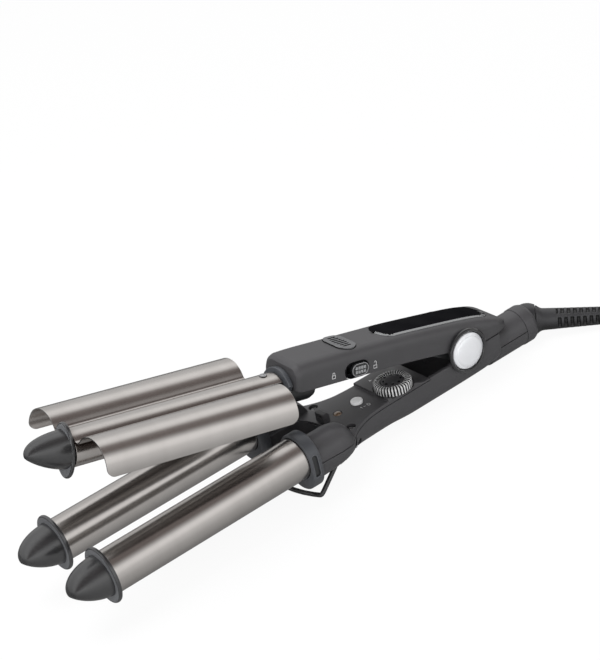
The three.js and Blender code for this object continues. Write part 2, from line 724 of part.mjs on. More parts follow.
function dialRing() {
  const outer = DIAL_D / 2;
  const inner = DIAL_CAP_D / 2 + FIT;
  const rings = [];
  const n = DIAL_KNURLS * 2;
  const loop = (r, depth, z) => {
    const out = [];
    for (let i = 0; i < n; i++) {
      const a = (i / n) * TURN;
      const rr = i % 2 ? r - depth : r;
      out.push([rr * Math.cos(a), rr * Math.sin(a), z]);
    }
    return out;
  };
  const levels = [[inner, 0, DIAL_BOTTOM], [outer - 0.6, 0.3, DIAL_BOTTOM], [outer, 0.6, DIAL_BOTTOM + 0.6]];
  levels.push([outer, 0.6, DIAL_TOP - 1.1], [outer - 0.9, 0.4, DIAL_TOP - 0.15], [outer - 1.6, 0.2, DIAL_TOP]);
  levels.push([inner + 0.3, 0, DIAL_TOP - 0.4], [inner, 0, DIAL_TOP - 0.7]);
  levels.forEach(([r, d, z]) => rings.push(loop(r, d, z)));
  const pos = rings.flat(2);
  const idx = [];
  for (let i = 0; i < rings.length; i++) {
    const next = (i + 1) % rings.length;
    for (let j = 0; j < n; j++) {
      const k = (j + 1) % n;
      idx.push(i * n + j, i * n + k, next * n + k, i * n + j, next * n + k, next * n + j);
    }
  }
  const g = new THREE.BufferGeometry();
  g.setAttribute('position', new THREE.BufferAttribute(new Float32Array(pos), 3));
  g.setIndex(idx);
  return g.translate(DIAL_X, DIAL_Y, 0);
}

function dialCap() {
  const r = DIAL_CAP_D / 2;
  const top = DIAL_TOP + 0.1;
  const pts = [[-1.7, 0], [-1.7, 3.2], [DIAL_BOTTOM, 3.2], [DIAL_BOTTOM, r], [top - 0.9, r], [top - 0.5, r - 0.5]];
  pts.push([top - 0.1, r - 2.5], [top, 0]);
  return lathedZ(pts, 24).translate(DIAL_X, DIAL_Y, 0);
}

// Hinge pieces
function hingePin() {
  return rodY(PIN_R, -EAR_OUT, EAR_OUT, PIVOT_X, PIVOT_Z, 24);
}

function sideTurned(profile, side, n = 32) {
  const g = turnX(profile, n).rotateZ(side > 0 ? Math.PI / 2 : -Math.PI / 2);
  return g.translate(PIVOT_X, 0, PIVOT_Z);
}

function hingeCap(side) {
  const r = CAP_D / 2;
  const base = EAR_OUT + FIT;
  const pts = [[base, 0], [base, r], [base + 1.4, r]];
  for (let i = 1; i <= 5; i++) {
    const a = (i / 5) * (Math.PI / 2);
    pts.push([base + 1.4 + (CAP_PROUD - 1.4) * Math.sin(a), r * Math.cos(a)]);
  }
  return sideTurned(pts, side);
}

function capRing(side) {
  const base = EAR_OUT + FIT;
  const inner = CAP_D / 2 + FIT;
  const outer = RING_OUTER_D / 2;
  const pts = [[base, inner], [base, outer], [base + RING_THICK - 0.5, outer]];
  pts.push([base + RING_THICK, outer - 0.5], [base + RING_THICK, inner + 0.3]);
  pts.push([base + RING_THICK - 0.3, inner], [base, inner]);
  return sideTurned(pts, side);
}

class Helix extends THREE.Curve {
  constructor(r, turns, width, legs) {
    super();
    Object.assign(this, { r, turns, width, legs });
  }

  getPoint(t, target = new THREE.Vector3()) {
    const total = this.turns * TURN;
    const a = t * total + Math.PI / 2;
    const y = -this.width / 2 + t * this.width;
    return target.set(this.r * Math.cos(a), y, this.r * Math.sin(a));
  }
}

function torsionSpring() {
  const width = 2 * (KNUCKLE_IN - FIT) - SPRING_WIRE;
  const r = PIN_R + FIT + SPRING_WIRE / 2;
  const path = new Helix(r, SPRING_TURNS, width);
  return tubeAlong(path, SPRING_WIRE / 2, SPRING_TURNS * 14, 6).translate(PIVOT_X, 0, PIVOT_Z);
}

// Wire stand under the lower arm
function wireStand() {
  const half = STAND_HALF;
  const r = STAND_WIRE / 2;
  const footZ = FLOOR_Z + r;
  const pts = (s) => [
    [STAND_X, s * (half - 6), STAND_Z],
    [STAND_X, s * (half - 1.6), STAND_Z],
    [STAND_X - 1.1, s * (half - 0.2), STAND_Z - 0.95],
    [STAND_FOOT_X + 1.3, s * half, footZ + 1.3],
    [STAND_FOOT_X + 0.3, s * (half - 0.6), footZ + 0.3],
    [STAND_FOOT_X, s * (half - 1.8), footZ],
  ];
  const list = [...pts(-1), ...pts(1).reverse()].map((p) => new THREE.Vector3(...p));
  const path = new THREE.CurvePath();
  for (let i = 0; i + 1 < list.length; i++) path.add(new THREE.LineCurve3(list[i], list[i + 1]));
  return sweep(list, r, 10);
}

// Round tube through listed points, one ring at each, mitred at the bends
function sweep(points, r, sides) {
  const rings = [];
  let side = new THREE.Vector3(1, 0, 0);
  points.forEach((p, i) => {
    const before = points[Math.max(i - 1, 0)];
    const after = points[Math.min(i + 1, points.length - 1)];
    const t = i === 0 ? after.clone().sub(p) : p.clone().sub(before);
    t.normalize();
    const t2 = i === points.length - 1 ? t.clone() : after.clone().sub(p).normalize();
    const mid = t.clone().add(t2).normalize();
    side = side.clone().addScaledVector(mid, -side.dot(mid)).normalize();
    const up = new THREE.Vector3().crossVectors(mid, side);
    const stretch = 1 / Math.max(0.6, mid.dot(t2));
    const bend = t2.clone().sub(t);
    const along = bend.lengthSq() > 1e-9 ? bend.normalize() : null;
    const ring = [];
    for (let j = 0; j < sides; j++) {
      const a = (j / sides) * TURN;
      const v = side.clone().multiplyScalar(r * Math.cos(a)).addScaledVector(up, r * Math.sin(a));
      if (along) v.addScaledVector(along, v.dot(along) * (stretch - 1));
      ring.push(v.add(p).toArray());
    }
    rings.push(ring);
  });
  const pos = rings.flat(2);
  const idx = [];
  for (let i = 0; i + 1 < rings.length; i++) {
    for (let j = 0; j < sides; j++) {
      const k = (j + 1) % sides;
      const a = i * sides + j;
      const b = i * sides + k;
      idx.push(a, b, b + sides, a, b + sides, a + sides);
    }
  }
  const last = (rings.length - 1) * sides;
  for (let j = 1; j + 1 < sides; j++) idx.push(0, j + 1, j, last, last + j, last + j + 1);
  const g = new THREE.BufferGeometry();
  g.setAttribute('position', new THREE.BufferAttribute(new Float32Array(pos), 3));
  g.setIndex(idx);
  return g;
}

// Upper arm, drawn along u with the pivot at the origin
const UPPER_STATIONS = [
  [UPPER_FRONT, 12.6, UPPER_BOTTOM + 0.8, 13.6, 0.8, 5.5],
  [UPPER_FRONT + 1, 13.6, UPPER_BOTTOM + 0.2, 15, 0.6, 6],
  [UPPER_FRONT + 3.5, UPPER_HALF, UPPER_BOTTOM, 15.9, 0.5, 6],
  [-92, UPPER_HALF, UPPER_BOTTOM, 16.3, 0.5, 6],
  [-46, UPPER_HALF, UPPER_BOTTOM, 16.3, 0.5, 6],
  [-19.5, UPPER_HALF, 1.2, 15.6, 0.5, 6],
  [-4, UPPER_HALF, 0.2, 15.1, 0.5, 6],
  [8, UPPER_HALF, 0.5, 14.7, 0.5, 6],
  [14, UPPER_HALF, 1.8, 14.2, 0.5, 6],
  [18.5, 13.9, 3, 13.3, 0.5, 5.8],
  [22.5, 13.2, 4, 12, 0.5, 5],
  [26, 11.8, 4.9, 10.3, 0.5, 3.8],
  [29, 9.6, 5.7, 8.4, 0.4, 1.9],
  [30.8, 7, 6.2, 7.1, 0.2, 0.5],
];

function upperShape(less) {
  return loft(UPPER_STATIONS.map(([u, h, b, t, rb, rt]) => {
    const at = less ? Math.min(Math.max(u, UPPER_FRONT + 2.4), 19) : u;
    const low = less ? -12 : b;
    const corner = Math.max(rt - less, 0.4);
    return section(at + (less ? u * 0.0001 : 0), h - less, low, t - less, less ? 0.3 : rb, corner);
  }));
}

function upperHousing() {
  const room = UPPER_STATIONS.slice(1, -3).map(([u, h, b, t, , rt]) => {
    const at = u < -107 ? UPPER_FRONT + 2.4 : u;
    return section(at, h - WALL, -12, t - WALL, 0.3, Math.max(rt - WALL, 0.4));
  });
  const tools = [
    loft(room),
    rodY(EAR_R + 0.7, -20, -EAR_IN + FIT, 0, 0, 40),
    rodY(EAR_R + 0.7, EAR_IN - FIT, 20, 0, 0, 40),
    rodX(6.3, UPPER_FRONT - 2, UPPER_FRONT + 6, 0, 4.2, 24),
    panelCut(),
    badgeCut(),
    lockCut(),
  ];
  return toGeometry(cut(upperShape(0), ...tools));
}

function panelOutline(grow) {
  const half = PANEL_HALF + grow;
  const u0 = PANEL_FRONT - grow;
  const u1 = PANEL_REAR + grow;
  const out = [];
  for (let i = 0; i <= 10; i++) {
    const a = Math.PI / 2 + (i / 10) * Math.PI;
    out.push([u0 + half * 0.7 + half * 0.7 * Math.cos(a), half * Math.sin(a)]);
  }
  for (let i = 0; i <= 10; i++) {
    const a = -Math.PI / 2 + (i / 10) * Math.PI;
    out.push([u1 - half * 0.7 + half * 0.7 * Math.cos(a), half * Math.sin(a)]);
  }
  return out;
}

// Slab that follows the crown of the upper arm at a given depth below it
function crownSlab(depth, up) {
  const line = UPPER_STATIONS.slice(3, -1).map(([u, , , t]) => [u, t]);
  const low = line.map(([u, t]) => [u, t - depth]);
  const high = line.map(([u, t]) => [u, t + up]).reverse();
  return plateY([...low, ...high], -11, 11);
}

function panelCut() {
  return common(plateZ(panelOutline(FIT), 0, 30), crownSlab(1.3, 6));
}

function namePanel() {
  const body = common(plateZ(panelOutline(0), 0, 30), crownSlab(1, 6));
  const skin = loft(UPPER_STATIONS.slice(3, -1).map(([u, h, b, t, rb, rt]) => {
    return section(u, h, b, t + 0.25, rb, rt + 0.2);
  }));
  return toGeometry(common(body, skin));
}

function badgeOutline(grow) {
  return slotOutline(BADGE_U, 0, BADGE_LEN + 2 * grow, BADGE_WIDE + 2 * grow, 12);
}

function badgeCut() {
  return common(plateZ(badgeOutline(FIT), 0, 30), box(-90, -50, -12, 12, 14.8, 30));
}

function ventBadge() {
  const skin = loft(UPPER_STATIONS.slice(2, 5).map(([u, h, b, t, rb, rt]) => {
    return section(u, h, b, t + 0.2, rb, rt);
  }));
  let body = common(common(plateZ(badgeOutline(0), 15.1, 30), skin), box(-90, -50, -12, 12, 15.1, 30));
  for (let i = -3; i <= 3; i++) {
    const half = 3.6 - Math.abs(i) * 0.35;
    body = cut(body, box(BADGE_U - half, BADGE_U + half, i * 2.1 - 0.45, i * 2.1 + 0.45, 15.7, 30));
  }
  return toGeometry(body);
}

function lockOutline(grow) {
  return slotOutline(LOCK_U, LOCK_V, LOCK_LEN + 2 * grow, LOCK_HIGH + 2 * grow);
}

const LOCK_SLOT_U0 = LOCK_U + LOCK_LEN / 2 - LOCK_BUTTON_LEN + 1.4 - LOCK_TRAVEL;
const LOCK_SLOT_U1 = LOCK_U + LOCK_LEN / 2 - 2.6;

function lockCut() {
  return plateY(lockOutline(FIT), -20, -UPPER_HALF + WALL + 3);
}

function lockBezel() {
  const y0 = -UPPER_HALF;
  const y1 = -UPPER_HALF + WALL;
  const ring = plateY(lockOutline(0), y0, y1);
  const tray = plateY(lockOutline(-0.4), y0 - 1, y1 - 0.8);
  const slot = box(LOCK_SLOT_U0, LOCK_SLOT_U1, -20, 0, LOCK_V - 1.9, LOCK_V + 1.9);
  return toGeometry(cut(ring, tray, slot));
}

function lockSlider() {
  const u1 = LOCK_U + LOCK_LEN / 2 - 0.4 - FIT;
  const u0 = u1 - LOCK_BUTTON_LEN + 0.6;
  const mid = (u0 + u1) / 2;
  const face = -UPPER_HALF - 0.9;
  const back = -UPPER_HALF + WALL - 0.8 - FIT;
  const button = plateY(slotOutline(mid, LOCK_V, u1 - u0, LOCK_BUTTON_HIGH - 0.4), face, back);
  const s0 = LOCK_SLOT_U0 + LOCK_TRAVEL + FIT;
  const s1 = LOCK_SLOT_U1 - FIT;
  const stem = box(s0, s1, back - 0.1, -UPPER_HALF + WALL + 2, LOCK_V - 1.6, LOCK_V + 1.6);
  const arm = box(s0, s0 + 3, -UPPER_HALF + WALL + 0.4, 1.6, LOCK_V - 1.6, LOCK_V + 1.6);
  const leg = box(s0, s0 + 3, -1.6, 1.6, TONGUE_V, LOCK_V + 1.6);
  const tongue = box(TONGUE_TIP, s0 + 3, -1.6, 1.6, TONGUE_V, TONGUE_V + 1.2);
  let body = add(button, stem, arm, leg, tongue);
  for (let i = -4; i <= 4; i++) {
    const u = mid + i * 1.05;
    body = cut(body, box(u - 0.22, u + 0.22, face - 1, face + 0.45, LOCK_V - 2.3, LOCK_V + 2.3));
  }
  return toGeometry(body);
}

const TONGUE_TIP = -82.8;
const TONGUE_V = -3.1;

function upperCover() {
  const half = UPPER_HALF - WALL - FIT;
  const front = UPPER_FRONT + 2.4 + FIT;
  let body = toSolid(box(front, -14, -half, half, UPPER_BOTTOM + 0.1, UPPER_BOTTOM + 1.7));
  const lump = loft([
    section(UPPER_FRONT + FIT, LUMP_HALF - 0.4, LUMP_BOTTOM + 0.3, 3, 5.5, 0.4),
    section(UPPER_FRONT + 1, LUMP_HALF, LUMP_BOTTOM, 3, 5.5, 0.4),
    section(UPPER_FRONT + LUMP_LEN - 4, LUMP_HALF, LUMP_BOTTOM, 3, 5.5, 0.4),
    section(UPPER_FRONT + LUMP_LEN - 1.3, LUMP_HALF - 0.5, LUMP_BOTTOM + 1.4, 3, 4.6, 0.4),
    section(UPPER_FRONT + LUMP_LEN, LUMP_HALF - 1.6, LUMP_BOTTOM + 3.8, 3, 3, 0.4),
  ]);
  const front2 = box(-120, front + 0.01, -20, 20, UPPER_BOTTOM - 0.1, 20);
  body = add(body, cut(lump, front2));
  const web = [[-30, UPPER_BOTTOM + 1.7], [-30, UPPER_BOTTOM], [-22, 0.6], [-14, -2.6], [-6, -5.2]];
  for (let i = 0; i <= 12; i++) {
    const a = Math.PI * 1.25 + (i / 12) * Math.PI * 1.2;
    web.push([KNUCKLE_R * Math.cos(a), KNUCKLE_R * Math.sin(a)]);
  }
  web.push([-9, UPPER_BOTTOM + 1.7]);
  const out = EAR_IN - FIT;
  body = add(body, plateY(web, KNUCKLE_IN, out), plateY(web, -out, -KNUCKLE_IN));
  const tools = [
    rodY(PIN_R + FIT, -20, 20, 0, 0, 24),
    box(TONGUE_TIP - LOCK_TRAVEL - 0.6, LOCK_SLOT_U1 + 0.4, -2.2, 2.2, -5, 10),
    rodX(6.3, UPPER_FRONT - 2, UPPER_FRONT + 9, 0, 4.2, 24),
  ];
  return toGeometry(cut(body, ...tools));
}

function centreBarrel() {
  return ringX(CENTRE_R, CENTRE_R - CENTRE_WALL, CENTRE_TIP_U + FIT, CENTRE_END, 36);
}

function centreTip() {
  const spigot = CENTRE_R - CENTRE_WALL - FIT;
  const wide = CENTRE_NOSE_WIDE / 2;
  const tall = CENTRE_NOSE_TALL / 2;
  const g = tipSolid(CENTRE_DISC_WIDE / 2, CENTRE_DISC_TALL / 2, wide, tall, CENTRE_NOSE_LEN, spigot);
  return g.translate(CENTRE_TIP_U, 0, 0);
}

// Flange between the sheet and the housing, cut back at its sides to pass the collars
function centreFlange() {
  const u0 = CENTRE_END + FIT;
  const disc = ringX(FLANGE_R, 2.5, u0, u0 + FLANGE_THICK);
  const clear = [1, -1].flatMap((s) => [
    rodX(COLLAR_R + 0.6, -130, -100, s * BARREL_Y, -2.3, 32),
    box(-130, -100, s > 0 ? BARREL_Y - COLLAR_R - 0.6 : -20, s > 0 ? 20 : COLLAR_R + 0.6 - BARREL_Y, -20, -2.3),
  ]);
  const spigotF = ringX(CENTRE_R - CENTRE_WALL - FIT, 2.5, u0 - 5.6, u0 + 0.5);
  const shaped = cut(disc, ...clear);
  return toGeometry(add(shaped, spigotF));
}

// Corrugated sheet: crest over the centre barrel, a valley each side, then the wings
function sheetLine(edgeDeg, crestOnly) {
  const d = Math.hypot(BARREL_Y, WING_DROP);
  const a0 = CREST_R + VALLEY_R;
  const a1 = WING_MID + VALLEY_R;
  const along = (d * d + a0 * a0 - a1 * a1) / (2 * d);
  const up = Math.sqrt(a0 * a0 - along * along);
  const ux = BARREL_Y / d;
  const uz = -WING_DROP / d;
  const vy = along * ux - up * uz;
  const vz = along * uz + up * ux;
  const crestAng = Math.atan2(vz, vy);
  const wingAng = Math.atan2(vz + WING_DROP, vy - BARREL_Y);
  const edge = (edgeDeg * Math.PI) / 180;
  const right = [];
  const arc = (cy, cz, r, from, to, n, flip) => {
    for (let i = 0; i <= n; i++) {
      const a = from + ((to - from) * i) / n;
      const s = flip ? -1 : 1;
      right.push([cy + r * Math.cos(a), cz + r * Math.sin(a), s * Math.cos(a), s * Math.sin(a)]);
    }
  };
  if (!crestOnly) {
    arc(BARREL_Y, -WING_DROP, WING_MID, edge, wingAng, 13, false);
    arc(vy, vz, VALLEY_R, wingAng - Math.PI, crestAng - Math.PI, 5, true);
    right.splice(13, 1);
    right.splice(18, 1);
  }
  arc(0, 0, CREST_R, crestAng, Math.PI / 2, 5, false);
  const left = right.slice(0, -1).reverse().map(([y, z, ny, nz]) => [-y, z, -ny, nz]);
  return [...right, ...left];
}

function sheetRing(u, edgeDeg, crestOnly) {
  const line = sheetLine(edgeDeg, crestOnly);
  const h = SHEET_THICK / 2;
  const outer = line.map(([y, z, ny, nz]) => [u, y + ny * h, z + nz * h]);
  const inner = line.map(([y, z, ny, nz]) => [u, y - ny * h, z - nz * h]).reverse();
  return [...outer, ...inner];
}

function wavePlate() {
  const rings = [];
  const per = 180 / Math.PI / WING_MID;
  const ends = [0, 0.15, 0.5, 1];
  ends.forEach((s) => {
    const back = WING_CORNER - Math.sqrt(WING_CORNER ** 2 - (WING_CORNER * (1 - s)) ** 2);
    rings.push(sheetRing(SHEET_FRONT + WING_CORNER * s, WING_EDGE_DEG + back * per, false));
  });
  [...ends].reverse().forEach((s) => {
    const back = WING_CORNER - Math.sqrt(WING_CORNER ** 2 - (WING_CORNER * (1 - s)) ** 2);
    rings.push(sheetRing(WING_REAR - WING_CORNER * s, WING_EDGE_DEG + back * per, false));
  });
  const crest = loft([sheetRing(WING_REAR - 2, 0, true), sheetRing(CREST_REAR, 0, true)]);
  const hole = rodZ(1.5, 0, 20, CREST_REAR - 6.8, 0, 16);
  return toGeometry(cut(add(loft(rings), crest), hole));
}

function plateScrew() {
  const top = CREST_R + SHEET_THICK / 2;
  const pts = [[top - 3.2, 0], [top - 3.2, 1.1], [top + 0.25, 1.1], [top + 0.25, 1.9], [top + 0.7, 1.6], [top + 0.9, 0]];
  return lathedZ(pts, 12).translate(CREST_REAR - 6.8, 0, 0);
}

// Hole in the centre barrel for the plate screw
function centreBarrelDrilled() {
  const hole = rodZ(1.4, 0, 12, CREST_REAR - 6.8, 0, 16);
  return toGeometry(cut(centreBarrel(), hole));
}

// Cord on the floor, its coil, tie and plug
const CORD_R = CORD_D / 2;
const RELIEF_TIP = BALL.clone().addScaledVector(RELIEF_DIR, RELIEF_END);
const FLAT_DIR = new THREE.Vector3(RELIEF_DIR.x, RELIEF_DIR.y, 0).normalize();
const COIL_SIDE = new THREE.Vector3(-FLAT_DIR.y, FLAT_DIR.x, 0);
const COIL_START = RELIEF_TIP.clone().addScaledVector(FLAT_DIR, CORD_RUN);
const COIL_Z = FLOOR_Z + COIL_LIFT + CORD_R;
const COIL_CENTRE = COIL_START.clone().addScaledVector(COIL_SIDE, COIL_OUTER);
const START_ANGLE = Math.atan2(-COIL_SIDE.y, -COIL_SIDE.x);

function cordPoints() {
  const at = (s, z) => {
    const p = RELIEF_TIP.clone().addScaledVector(FLAT_DIR, s);
    p.z = z;
    return p;
  };
  const z0 = RELIEF_TIP.z;
  const first = RELIEF_TIP.clone().addScaledVector(RELIEF_DIR, FIT);
  const second = RELIEF_TIP.clone().addScaledVector(RELIEF_DIR, CORD_D);
  const low = Math.max(second.z, COIL_Z);
  return [first, second, at(20, COIL_Z + 0.2 * (low - COIL_Z)), at(30, COIL_Z), at(CORD_RUN - 0.7, COIL_Z)];
}

function cordTube() {
  return tubeAlong(polyCurve(cordPoints()), CORD_R, 16, 10);
}

function coilPoints() {
  const half = (COIL_TURNS - 0.5) / 2;
  const steps = 24;
  const total = COIL_TURNS * steps;
  const out = [];
  for (let i = 0; i <= total; i++) {
    const t = i / steps;
    let r = COIL_OUTER - COIL_PITCH * t;
    let z = COIL_Z;
    if (t > half && t < half + 0.5) {
      const s = (t - half) / 0.5;
      r = COIL_OUTER - COIL_PITCH * half - 2.2 * Math.sin(s * Math.PI);
      z = COIL_Z + COIL_LAYER * (0.5 - 0.5 * Math.cos(s * Math.PI));
    } else if (t >= half + 0.5) {
      r = COIL_OUTER - COIL_PITCH * half + COIL_PITCH * (t - half - 0.5);
      z = COIL_Z + COIL_LAYER;
    }
    const a = START_ANGLE + t * TURN;
    out.push(new THREE.Vector3(COIL_CENTRE.x + r * Math.cos(a), COIL_CENTRE.y + r * Math.sin(a), z));
  }
  for (let i = 1; i <= TAIL_STEPS; i++) {
    const t = COIL_TURNS + i / steps;
    const climb = Math.min(1, i / 4) * (Math.PI / 2);
    const k = Math.min(1, Math.max(0, (i - 4) / (TAIL_STEPS - 4)));
    const r = COIL_OUTER - COIL_PITCH * (1 - Math.cos(climb)) - (TAIL_IN - COIL_PITCH) * k;
    const a = START_ANGLE + t * TURN;
    const z = COIL_Z + COIL_LAYER + (PLUG_LIFT - COIL_LAYER) * Math.sin(climb);
    out.push(new THREE.Vector3(COIL_CENTRE.x + r * Math.cos(a), COIL_CENTRE.y + r * Math.sin(a), z));
  }
  return out;
}

const COIL_PATH = coilPoints();
const PLUG_DIR = COIL_PATH.at(-1).clone().sub(COIL_PATH.at(-2)).setZ(0).normalize();

// Least gap between points of the coil that are far apart along it
function coilSelfGap() {
  let best = Infinity;
  for (let i = 0; i < COIL_PATH.length; i++) {
    for (let j = i + 8; j < COIL_PATH.length; j++) {
      best = Math.min(best, COIL_PATH[i].distanceTo(COIL_PATH[j]) - CORD_D);
    }
  }
  return best;
}

function cordCoil() {
  console.log('least self gap of the coil, mm', coilSelfGap().toFixed(2));
  return sweep(COIL_PATH, CORD_R, 6);
}

function coilTie() {
  const half = (COIL_TURNS - 0.5) / 2;
  const inner = COIL_OUTER - COIL_PITCH * half - CORD_R - 1.2 - COIL_PITCH;
  const outer = COIL_OUTER + CORD_R + 1.2;
  const z0 = FLOOR_Z;
  const z1 = COIL_Z + COIL_LAYER + CORD_R + 0.4 + 0.6;
  const ring = cut(box(inner - 0.6, outer + 0.6, -2.5, 2.5, z0, z1), box(inner, outer, -4, 4, z0 + 0.6, z1 - 0.6));
  const g = toGeometry(ring);
  return g.rotateZ(Math.PI * 0.5).translate(COIL_CENTRE.x, COIL_CENTRE.y, 0);
}

function plugPlace(geometry) {
  const end = COIL_PATH.at(-1);
  const turn = Math.atan2(PLUG_DIR.y, PLUG_DIR.x);
  return geometry.rotateZ(turn).translate(end.x, end.y, PLUG_LIFT);
}

function plugBody() {
  const z = COIL_Z;
  const low = FLOOR_Z + 0.1;
  const half = PLUG_WIDE / 2;
  const top = low + PLUG_HIGH;
  const ring = (x, h, b, t, r) => section(x, h, b, t, r, r);
  const body = loft([
    ring(FIT, 4.6, z - 3.4, z + 4.6, 3.2),
    ring(9, 6, z - 3.5, z + 5.4, 3.2),
    ring(14, half - 2.6, low, top - 1.6, 3.4),
    ring(20, half, low, top, 3.4),
    ring(PLUG_LEN - 1, half, low, top, 3.4),
    ring(PLUG_LEN, half - 0.9, low + 0.9, top - 0.9, 2.8),
  ]);
  const mid = low + PLUG_HIGH / 2;
  const holes = [1, -1].map((s) => rodX(PIN_DIA / 2 + FIT, PLUG_LEN - 8, PLUG_LEN + 2, s * PIN_SPACING / 2, mid, 16));
  return plugPlace(toGeometry(cut(body, ...holes)));
}

function plugPin(side) {
  const mid = FLOOR_Z + 0.1 + PLUG_HIGH / 2;
  const r = PIN_DIA / 2;
  const x0 = PLUG_LEN - PIN_SEAT + FIT;
  const x1 = PLUG_LEN + PIN_LEN;
  const g = turnX([[x0, 0], [x0, r], [x1 - 1.2, r], [x1 - 0.3, r * 0.7], [x1, 0]], 16);
  return plugPlace(g.translate(0, side * PIN_SPACING / 2, mid));
}

// Assemble
const tool = new THREE.Group();
tool.name = 'hair_waver';
const lower = [
  node('lower_housing', lowerHousing(), 'shell'),
  node('lower_cover', lowerCover(), 'cover'),
  node('tail_cover', tailCover(), 'shell'),
  node('end_collar', endCollar(), 'shell'),
  node('left_collar', collar(-1), 'collar'),
  node('right_collar', collar(1), 'collar'),
  node('left_barrel', lowerBarrel(-1), 'satin'),
  node('right_barrel', lowerBarrel(1), 'satin'),
  node('left_heater', heaterBar(HEATER_FRONT, HEATER_REAR, BARREL_R - BARREL_WALL, -BARREL_Y), 'ceramic'),
  node('right_heater', heaterBar(HEATER_FRONT, HEATER_REAR, BARREL_R - BARREL_WALL, BARREL_Y), 'ceramic'),
  node('left_tip', lowerTip(-1), 'tip'),
  node('right_tip', lowerTip(1), 'tip'),
  node('catch_block', catchBlock(), 'black'),
  node('pilot_lens', pilotLens(), 'amber'),
  node('left_cover_screw', coverScrew(-1), 'steel'),
  node('right_cover_screw', coverScrew(1), 'steel'),
  node('circuit_board', circuitBoard(), 'board'),
  node('switch_body', switchBody(), 'black'),
  node('power_button', powerButton(), 'silver'),
  node('dial_potentiometer', dialPotentiometer(), 'steel'),
  node('dial_ring', dialRing(), 'knurl'),
  node('dial_cap', dialCap(), 'black'),
  node('hinge_pin', hingePin(), 'steel'),
  node('left_hinge_cap', hingeCap(-1), 'silver'),
  node('right_hinge_cap', hingeCap(1), 'silver'),
  node('left_cap_ring', capRing(-1), 'black'),
  node('right_cap_ring', capRing(1), 'black'),
  node('torsion_spring', torsionSpring(), 'steel'),
  node('wire_stand', wireStand(), 'gloss'),
  node('swivel_ball', swivelBall(), 'rubber'),
  node('strain_relief', strainRelief(), 'rubber'),
  node('cord_tube', cordTube(), 'rubber'),
  node('cord_coil', cordCoil(), 'rubber'),
  node('coil_tie', coilTie(), 'black'),
  node('plug_body', plugBody(), 'rubber'),
  node('left_plug_pin', plugPin(-1), 'brass'),
  node('right_plug_pin', plugPin(1), 'brass'),
];
lower.forEach((m) => tool.add(m));

const upperArm = new THREE.Group();
upperArm.name = 'upper_arm';
const upper = [
  node('upper_housing', upperHousing(), 'shell'),
  node('upper_cover', upperCover(), 'black'),
  node('name_panel', namePanel(), 'gloss'),
  node('vent_badge', ventBadge(), 'cover'),
  node('lock_bezel', lockBezel(), 'black'),
  node('lock_slider', lockSlider(), 'black'),
  node('centre_barrel', centreBarrelDrilled(), 'satin'),
  node('centre_heater', heaterBar(CENTRE_TIP_U + 9, WING_REAR, CENTRE_R - CENTRE_WALL, 0), 'ceramic'),
  node('centre_flange', centreFlange(), 'black'),
  node('centre_tip', centreTip(), 'tip'),
  node('wave_plate', wavePlate(), 'satin'),
  node('plate_screw', plateScrew(), 'steel'),
];
upper.forEach((m) => upperArm.add(m));
upperArm.rotation.y = OPEN;
upperArm.position.set(PIVOT_X, 0, PIVOT_Z);
tool.add(upperArm);

// Put the whole tool on the floor, centred over the origin
const TOOL_BACK = (TIP_DISC_THICK + TIP_NOSE_LEN - BALL_X - BALL_R) / 2;
tool.position.set(TOOL_BACK, 0, -FLOOR_Z);
const root = new THREE.Group();
root.name = 'waver';
root.add(tool);
root.updateMatrixWorld(true);

export default root;
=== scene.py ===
# %% [markdown]
# # A hair waver in Blender
# The tool lies on a table: two heated barrels below, a third barrel under a curved metal
# sheet above, a grip with a dial and a lock, a wire stand, and a cord that leaves at the back.
# The solids come from a CAD model that is loaded first. Everything here is built around it.

# %% Load the frame
import math

import bmesh
import bpy
import numpy as np
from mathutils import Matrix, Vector


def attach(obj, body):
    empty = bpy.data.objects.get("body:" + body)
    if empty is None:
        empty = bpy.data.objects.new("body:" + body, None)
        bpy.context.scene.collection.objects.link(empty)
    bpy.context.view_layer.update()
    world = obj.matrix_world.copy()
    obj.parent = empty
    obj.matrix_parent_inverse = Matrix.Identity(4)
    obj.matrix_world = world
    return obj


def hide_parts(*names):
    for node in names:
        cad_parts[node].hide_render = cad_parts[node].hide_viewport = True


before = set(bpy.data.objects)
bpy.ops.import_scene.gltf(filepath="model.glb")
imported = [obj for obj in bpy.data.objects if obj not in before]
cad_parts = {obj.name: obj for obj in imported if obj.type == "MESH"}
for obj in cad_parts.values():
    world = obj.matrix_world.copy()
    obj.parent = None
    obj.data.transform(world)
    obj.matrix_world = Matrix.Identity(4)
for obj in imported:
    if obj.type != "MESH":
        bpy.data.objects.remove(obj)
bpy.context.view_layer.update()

# %% [markdown]
# ## Two drawing spaces
# Sizes are written in millimetres. The lower arm is drawn with its barrels along X, the
# upper arm along its own axis u with the hinge at the origin. Two small functions put
# each of them into the frame, which is in metres.

# %% Places
MM = 0.001
ORIGIN = np.array([-138.1, 0.0, 27.0])
HINGE = np.array([234.0, 0.0, -2.3])
AXLE = HINGE * [1, 0, 1]
OPEN = math.radians(14.6)
SIDES = ((-1, "left"), (1, "right"))


def lower(p):
    """Lower arm millimetres to metres in the frame: add the origin, then scale."""
    return (np.asarray(p, float) + ORIGIN) * MM


def upper(p):
    """Upper arm millimetres to metres: turn by OPEN about Y, then move to the hinge."""
    p = np.asarray(p, float)
    c, s = math.cos(OPEN), math.sin(OPEN)
    turned = np.stack([p[..., 0] * c + p[..., 2] * s, p[..., 1], p[..., 2] * c - p[..., 0] * s], -1)
    return (turned + HINGE + ORIGIN) * MM


def span(side, near, far):
    """Both limits along Y, the smaller first, of a stretch from near to far on one side."""
    return sorted((side * near, side * far))


print("hinge in the frame", lower(HINGE).round(4))

